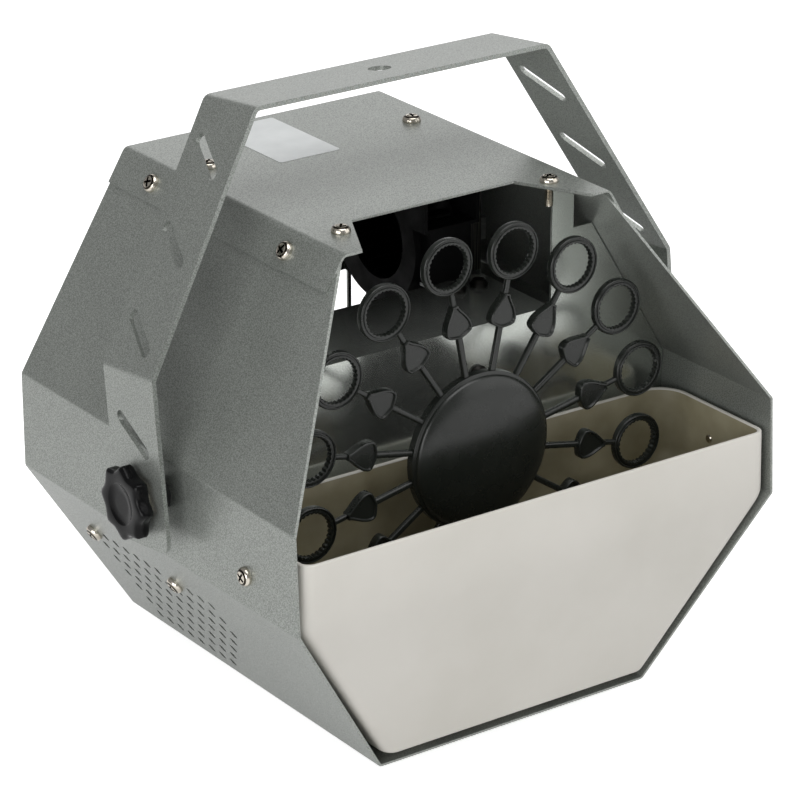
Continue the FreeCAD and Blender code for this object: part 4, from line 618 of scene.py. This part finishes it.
def spade():
    """Spade with a raised rim round a sunken face on both sides."""
    bm = bmesh.new()
    length = SPADE_TIP_R - SPADE_INNER_R
    half = SPADE_HALF
    side = [(0.0, 0.0), (0.5 * MM, half * 0.32), (1.2 * MM, half * 0.68), (1.9 * MM, half * 0.88),
            (2.8 * MM, half * 0.97), (4.0 * MM, half), (5.6 * MM, half * 0.97),
            (7.4 * MM, half * 0.87), (9.2 * MM, half * 0.73), (11.0 * MM, half * 0.55),
            (12.8 * MM, half * 0.36), (14.2 * MM, half * 0.24), (length, SPOKE_R)]
    outline = side + [(x, -y) for x, y in side[:0:-1]]
    verts = [bm.verts.new((x + SPADE_INNER_R, y, -SPADE_THICK / 2)) for x, y in outline]
    face = bm.faces.new(verts)
    grown = bmesh.ops.extrude_face_region(bm, geom=[face])["geom"]
    bmesh.ops.translate(bm, verts=[item for item in grown if isinstance(item, bmesh.types.BMVert)],
                        vec=(0, 0, SPADE_THICK))
    bmesh.ops.recalc_face_normals(bm, faces=bm.faces)
    rims = [edge for edge in bm.edges if abs(edge.verts[0].co.z - edge.verts[1].co.z) < 1e-6]
    bevelled(bm, rims, 0.45 * MM, 3)
    flats = [face for face in bm.faces if abs(face.normal.z) > 0.99 and face.calc_area() > 2e-5]
    bmesh.ops.inset_region(bm, faces=flats, thickness=0.35 * MM, depth=0.0)
    bmesh.ops.inset_region(bm, faces=flats, thickness=0.45 * MM, depth=-0.9 * MM)
    return bm


def spoke(bm, start, end, radius):
    """Rounded square bar along +X."""
    part = bmesh.new()
    bmesh.ops.create_cube(part, size=1.0)
    bmesh.ops.scale(part, vec=(end - start, 2 * radius, 2 * radius), verts=part.verts)
    bmesh.ops.translate(part, vec=((start + end) / 2, 0, 0), verts=part.verts)
    long_edges = [edge for edge in part.edges
                  if abs(edge.verts[0].co.x - edge.verts[1].co.x) > (end - start) / 2]
    bevelled(part, long_edges, radius * 0.6, 3)
    copied(bm, part, Matrix.Identity(4))
    part.free()


def wand():
    """One wand along +X, lying in the XY plane."""
    bm = bmesh.new()
    ring = wand_ring()
    copied(bm, ring, Matrix.Translation((RING_CENTRE_R, 0, 0)))
    ring.free()
    heart = spade()
    copied(bm, heart, Matrix.Identity(4))
    heart.free()
    spoke(bm, HUB_R - 2.5 * MM, SPADE_INNER_R + 1.0 * MM, SPOKE_R)
    spoke(bm, SPADE_TIP_R - 1.0 * MM, RING_CENTRE_R - RING_R + 0.8 * MM, SPOKE_R * 0.85)
    return bm


def upright_turn(centre, degrees):
    """From the wand's own plane to the wheel's: its Z becomes the wheel's axis."""
    return (Matrix.Translation(centre) @ Matrix.Rotation(math.radians(-degrees), 4, "Y")
            @ Matrix.Rotation(math.radians(90), 4, "X"))


def wheel():
    centre = wheel_frame()
    bm = bmesh.new()
    one = wand()
    for index in range(WANDS):
        copied(bm, one, upright_turn(centre, WAND_PHASE + index * 360.0 / WANDS))
    one.free()
    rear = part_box("wand_wheel")[1].y - centre.y
    plate = bmesh.new()
    half = HUB_PLATE_THICK / 2
    turned(plate, [(SHAFT_BORE_R, -half), (HUB_PLATE_R, -half), (HUB_PLATE_R, half),
                   (BOSS_R, half), (BOSS_R, rear), (SHAFT_BORE_R, rear),
                   (SHAFT_BORE_R, -half)], 96)
    copied(bm, plate, Matrix.Translation(centre) @ facing((0, 1, 0)))
    plate.free()
    piece = piece_from(bm, "wheel_fine", BLACK, smooth_angle=38.0)
    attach(piece, "wheel")
    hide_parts("wand_wheel")


def cap():
    """Domed cap with a soft shoulder, a stepped rim and the small mark of its moulding gate."""
    low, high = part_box("hub_cap")
    centre = Vector(((low.x + high.x) / 2, low.y, (low.z + high.z) / 2))
    depth = high.y - low.y
    bm = bmesh.new()
    r = HUB_R
    dome = [(r * share, -2.4 * MM * (share / 0.78) ** 2) for share in
            (0.0, 0.08, 0.18, 0.3, 0.42, 0.54, 0.66, 0.72, 0.78)]
    shoulder = [(r * 0.83, -2.85 * MM), (r * 0.875, -3.35 * MM), (r * 0.915, -3.95 * MM),
                (r * 0.945, -4.6 * MM), (r * 0.958, -5.3 * MM), (r * 0.962, -5.9 * MM),
                (r * 0.975, -6.1 * MM), (r * 0.992, -6.2 * MM), (r, -6.5 * MM)]
    inside = [(r, -depth), (r - 1.6 * MM, -depth), (r - 1.6 * MM, -6.6 * MM),
              (r * 0.88, -5.2 * MM), (0, -4.4 * MM)]
    turned(bm, dome + shoulder + inside, 128)
    mark = bmesh.new()
    turned(mark, [(0, 0.12 * MM), (0.7 * MM, 0.10 * MM), (0.9 * MM, -0.1 * MM),
                  (1.4 * MM, -0.1 * MM), (1.6 * MM, 0.16 * MM), (2.0 * MM, 0.14 * MM),
                  (2.3 * MM, -0.25 * MM), (0, -0.25 * MM)], 32)
    copied(bm, mark, Matrix.Translation((0, 0, -0.2 * MM)))
    mark.free()
    bmesh.ops.transform(bm, matrix=Matrix.Translation(centre) @ facing((0, -1, 0)), verts=bm.verts)
    piece = piece_from(bm, "hub_cap_fine", BLACK, smooth_angle=40.0)
    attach(piece, "wheel")
    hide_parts("hub_cap")


# ---- tank --------------------------------------------------------------------------------------

def folded(height, values, fold):
    """Value at a height of a line that bends at the crease, with the bend rounded off."""
    floor, crease, rim = values
    below = (crease - floor) / TANK_CREASE
    low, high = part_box("tank")
    above = (rim - crease) / (high.z - low.z - TANK_CREASE)
    offset = height - TANK_CREASE
    if offset <= -fold:
        return crease + below * offset
    if offset >= fold:
        return crease + above * offset
    return crease + below * offset + (above - below) * (offset + fold) ** 2 / (4 * fold)


def tank_loop(bm, height, inset):
    """Rounded outline of the tank at a height over its floor, moved inwards."""
    low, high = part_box("tank")
    half = folded(height, TANK_HALF, SIDE_FOLD) - inset
    front = low.y + folded(height, TANK_FRONT, FRONT_FOLD) + inset
    rear = high.y - inset
    front_r = max(TANK_FRONT_R - inset, 1.0 * MM)
    rear_r = max(TANK_REAR_R - inset, 1.0 * MM)
    corners = ((half - rear_r, rear - rear_r, rear_r, 0),
               (rear_r - half, rear - rear_r, rear_r, 90),
               (front_r - half, front + front_r, front_r, 180),
               (half - front_r, front + front_r, front_r, 270))
    verts = []
    for x, y, radius, start in corners:
        for step in range(TANK_CORNER_STEPS + 1):
            turn = math.radians(start + 90.0 * step / TANK_CORNER_STEPS)
            verts.append(bm.verts.new((x + radius * math.cos(turn), y + radius * math.sin(turn),
                                       low.z + height)))
    return verts


def tank():
    """Open moulded tank: tapered walls with soft folds, a rounded rim and a rounded floor."""
    low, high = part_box("tank")
    rim = high.z - low.z
    w = TANK_WALL
    fold_steps = (-7, -5, -3.5, -2.5, -1.2, 0, 1.2, 2.5, 3.5, 5, 7)
    creases = [TANK_CREASE + step * MM for step in fold_steps]
    outside = ([(0, 1.5 * MM), (0.4 * MM, 0.6 * MM), (1.0 * MM, 0.15 * MM), (2.0 * MM, 0)]
               + [(height, 0) for height in creases]
               + [(rim - 0.7 * MM, 0), (rim - 0.25 * MM, 0.2 * MM), (rim, 0.6 * MM)])
    inside = ([(rim, w - 0.6 * MM), (rim - 0.25 * MM, w - 0.2 * MM), (rim - 0.7 * MM, w)]
              + [(height, w) for height in creases[::-1]]
              + [(w + 4.0 * MM, w), (w + 1.6 * MM, w + 0.5 * MM), (w + 0.4 * MM, w + 1.6 * MM),
                 (w, w + 3.4 * MM)])
    bm = bmesh.new()
    loops = [tank_loop(bm, height, inset) for height, inset in outside + inside]
    # faces inside the tank are marked for painted shade
    within = bm.faces.layers.float.new(INSIDE_VALUE)
    for row, (lower, upper) in enumerate(zip(loops, loops[1:])):
        for n in range(len(lower)):
            after = (n + 1) % len(lower)
            face = bm.faces.new((lower[n], lower[after], upper[after], upper[n]))
            face[within] = 1.0 if row > len(outside) + 1 else 0.0
    bm.faces.new(loops[0][::-1])
    bm.faces.new(loops[-1])[within] = 1.0
    piece = piece_from(bm, "tank_fine", TANK, smooth_angle=40.0)
    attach(piece, "housing")
    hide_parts("tank")


# ---- knobs -------------------------------------------------------------------------------------

def knob(side):
    """Lobed knob with rounded lobes, a soft edge and a shallow dish in its face."""
    low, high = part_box("knob_" + side)
    middle = (low + high) / 2
    r = (high.z - low.z) / 2
    top = high.x - low.x
    neck = KNOB_NECK
    bm = bmesh.new()
    profile = [(0, 0), (KNOB_NECK_R, 0), (KNOB_NECK_R, neck), (r * 0.86, neck),
               (r * 0.95, neck + 0.35 * MM), (r, neck + 1.4 * MM), (r, (neck + top) / 2),
               (r, top - 1.9 * MM), (r * 0.985, top - 1.2 * MM), (r * 0.945, top - 0.5 * MM),
               (r * 0.88, top - 0.1 * MM), (r * 0.8, top), (KNOB_NECK_R + 0.6 * MM, top),
               (KNOB_NECK_R, top - 0.2 * MM), (KNOB_NECK_R - 0.5 * MM, top - 0.7 * MM),
               (KNOB_NECK_R * 0.5, top - 0.8 * MM), (0, top - 0.8 * MM)]
    turned(bm, profile, 24 * KNOB_LOBES)
    start = KNOB_NECK_R + 1.0 * MM
    for vert in bm.verts:
        reach = math.hypot(vert.co.x, vert.co.y)
        if reach > start:
            angle = math.atan2(vert.co.y, vert.co.x) * KNOB_LOBES / 2
            dip = abs(math.sin(angle)) ** 1.35 * KNOB_DIP
            share = (reach - start) / (r - start)
            scale = 1 - dip * share / reach
            vert.co.x *= scale
            vert.co.y *= scale
    sign = 1 if side == "right" else -1
    base = low.x if side == "right" else high.x
    place = Matrix.Translation((base, middle.y, middle.z)) @ facing((sign, 0, 0))
    bmesh.ops.transform(bm, matrix=place, verts=bm.verts)
    piece = piece_from(bm, "knob_" + side + "_fine", KNOB_BLACK, smooth_angle=50.0)
    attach(piece, "knob_" + side)
    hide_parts("knob_" + side)


# ---- sticker -----------------------------------------------------------------------------------

def sticker():
    """Plain paper sticker with rounded corners, flat on the cover."""
    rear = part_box("top_cover")[1].y - STICKER_FROM_REAR
    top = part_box("top_cover")[1].z
    bm = bmesh.new()
    bmesh.ops.create_cube(bm, size=1.0)
    size = Vector((STICKER_RIGHT - STICKER_LEFT, STICKER_LENGTH, STICKER_THICK))
    bmesh.ops.scale(bm, vec=size, verts=bm.verts)
    bmesh.ops.translate(bm, verts=bm.verts, vec=(
        (STICKER_LEFT + STICKER_RIGHT) / 2, rear - STICKER_LENGTH / 2, top + STICKER_THICK / 2))
    upright = [edge for edge in bm.edges if abs(edge.verts[0].co.z - edge.verts[1].co.z) > 1e-5]
    bevelled(bm, upright, 1.5 * MM, 4)
    piece = piece_from(bm, "cover_sticker", PAPER)
    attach(piece, "housing")


# ---- studio ------------------------------------------------------------------------------------

FLOOR_REACH = 6.0
FLOOR_WHITE = 0.8
FLOOR_GLOW_SEEN = 0.81
FLOOR_GLOW_MIRRORED = 0.38
SURROUNDING_LIGHT = 0.27
LIGHT_TARGET = (0, 0, 0.12)
SOFTBOXES = {               # place and size in metres, power in watts
    "key_overhead": ((0.1, -0.5, 1.8), (1.4, 1.4), 16),
    "front_right": ((1.4, -1.4, 0.95), (2.0, 1.7), 12.5),
    "rear_right": ((1.4, 1.95, 1.0), (2.0, 1.4), 7.5),
    "left_front": ((-1.9, -0.9, 0.5), (1.7, 1.2), 22),
}


def studio_floor():
    """Wide pale floor that the camera sees as white and that keeps the soft shadow."""
    bm = bmesh.new()
    bmesh.ops.create_grid(bm, x_segments=1, y_segments=1, size=FLOOR_REACH)
    material = bpy.data.materials.new("studio_floor")
    material.use_nodes = True
    nodes, links = material.node_tree.nodes, material.node_tree.links
    nodes.remove(nodes["Principled BSDF"])
    output = nodes["Material Output"]
    matt = nodes.new("ShaderNodeBsdfDiffuse")
    matt.inputs["Color"].default_value = (FLOOR_WHITE, FLOOR_WHITE, FLOOR_WHITE, 1)
    glow = nodes.new("ShaderNodeEmission")
    glow.inputs["Color"].default_value = (1, 1, 1, 1)
    path = nodes.new("ShaderNodeLightPath")
    mirrored_share = nodes.new("ShaderNodeMath")
    mirrored_share.operation = "MULTIPLY"
    mirrored_share.inputs[1].default_value = FLOOR_GLOW_MIRRORED
    links.new(path.outputs["Is Glossy Ray"], mirrored_share.inputs[0])
    share = nodes.new("ShaderNodeMath")
    share.operation = "MULTIPLY_ADD"
    share.inputs[1].default_value = FLOOR_GLOW_SEEN
    links.new(path.outputs["Is Camera Ray"], share.inputs[0])
    links.new(mirrored_share.outputs["Value"], share.inputs[2])
    links.new(share.outputs["Value"], glow.inputs["Strength"])
    both = nodes.new("ShaderNodeAddShader")
    links.new(matt.outputs["BSDF"], both.inputs[0])
    links.new(glow.outputs["Emission"], both.inputs[1])
    links.new(both.outputs["Shader"], output.inputs["Surface"])
    floor = piece_from(bm, "studio_floor", material)


def studio_world():
    """Even pale surroundings: white to the camera, softer as light and in reflections."""
    world = bpy.data.worlds.new("studio")
    bpy.context.scene.world = world
    world.use_nodes = True
    nodes, links = world.node_tree.nodes, world.node_tree.links
    background = nodes["Background"]
    background.inputs["Color"].default_value = (1, 1, 1, 1)
    path = nodes.new("ShaderNodeLightPath")
    seen = nodes.new("ShaderNodeMath")
    seen.operation = "MAXIMUM"
    links.new(path.outputs["Is Camera Ray"], seen.inputs[0])
    links.new(path.outputs["Is Transmission Ray"], seen.inputs[1])
    strength = nodes.new("ShaderNodeMapRange")
    strength.inputs["To Min"].default_value = SURROUNDING_LIGHT
    strength.inputs["To Max"].default_value = 1.0
    links.new(seen.outputs["Value"], strength.inputs["Value"])
    links.new(strength.outputs["Result"], background.inputs["Strength"])


def studio_lights():
    for name, (place, size, watts) in SOFTBOXES.items():
        light = bpy.data.lights.new(name, "AREA")
        light.shape = "RECTANGLE"
        light.size, light.size_y = size
        light.energy = watts
        lamp = bpy.data.objects.new(name, light)
        lamp.location = place
        aim = Vector(LIGHT_TARGET) - Vector(place)
        lamp.rotation_euler = aim.to_track_quat("-Z", "Y").to_euler()
        bpy.context.scene.collection.objects.link(lamp)


def camera():
    azimuth, elevation = math.radians(CAMERA_AZIMUTH), math.radians(CAMERA_ELEVATION)
    back = Vector((math.sin(azimuth) * math.cos(elevation),
                   -math.cos(azimuth) * math.cos(elevation), math.sin(elevation)))
    data = bpy.data.cameras.new("camera")
    data.lens = CAMERA_LENS
    data.sensor_width = SENSOR_WIDTH
    data.clip_start, data.clip_end = CAMERA_NEAR, CAMERA_FAR
    seat = bpy.data.objects.new("camera", data)
    seat.location = CAMERA_PLACE
    seat.rotation_euler = back.to_track_quat("Z", "Y").to_euler()
    bpy.context.scene.collection.objects.link(seat)
    bpy.context.scene.camera = seat


paint_nodes()
screws()
wheel()
cap()
tank()
knob("right")
knob("left")
sticker()
studio_floor()
studio_world()
studio_lights()
camera()
bpy.context.scene.view_settings.view_transform = "Standard"
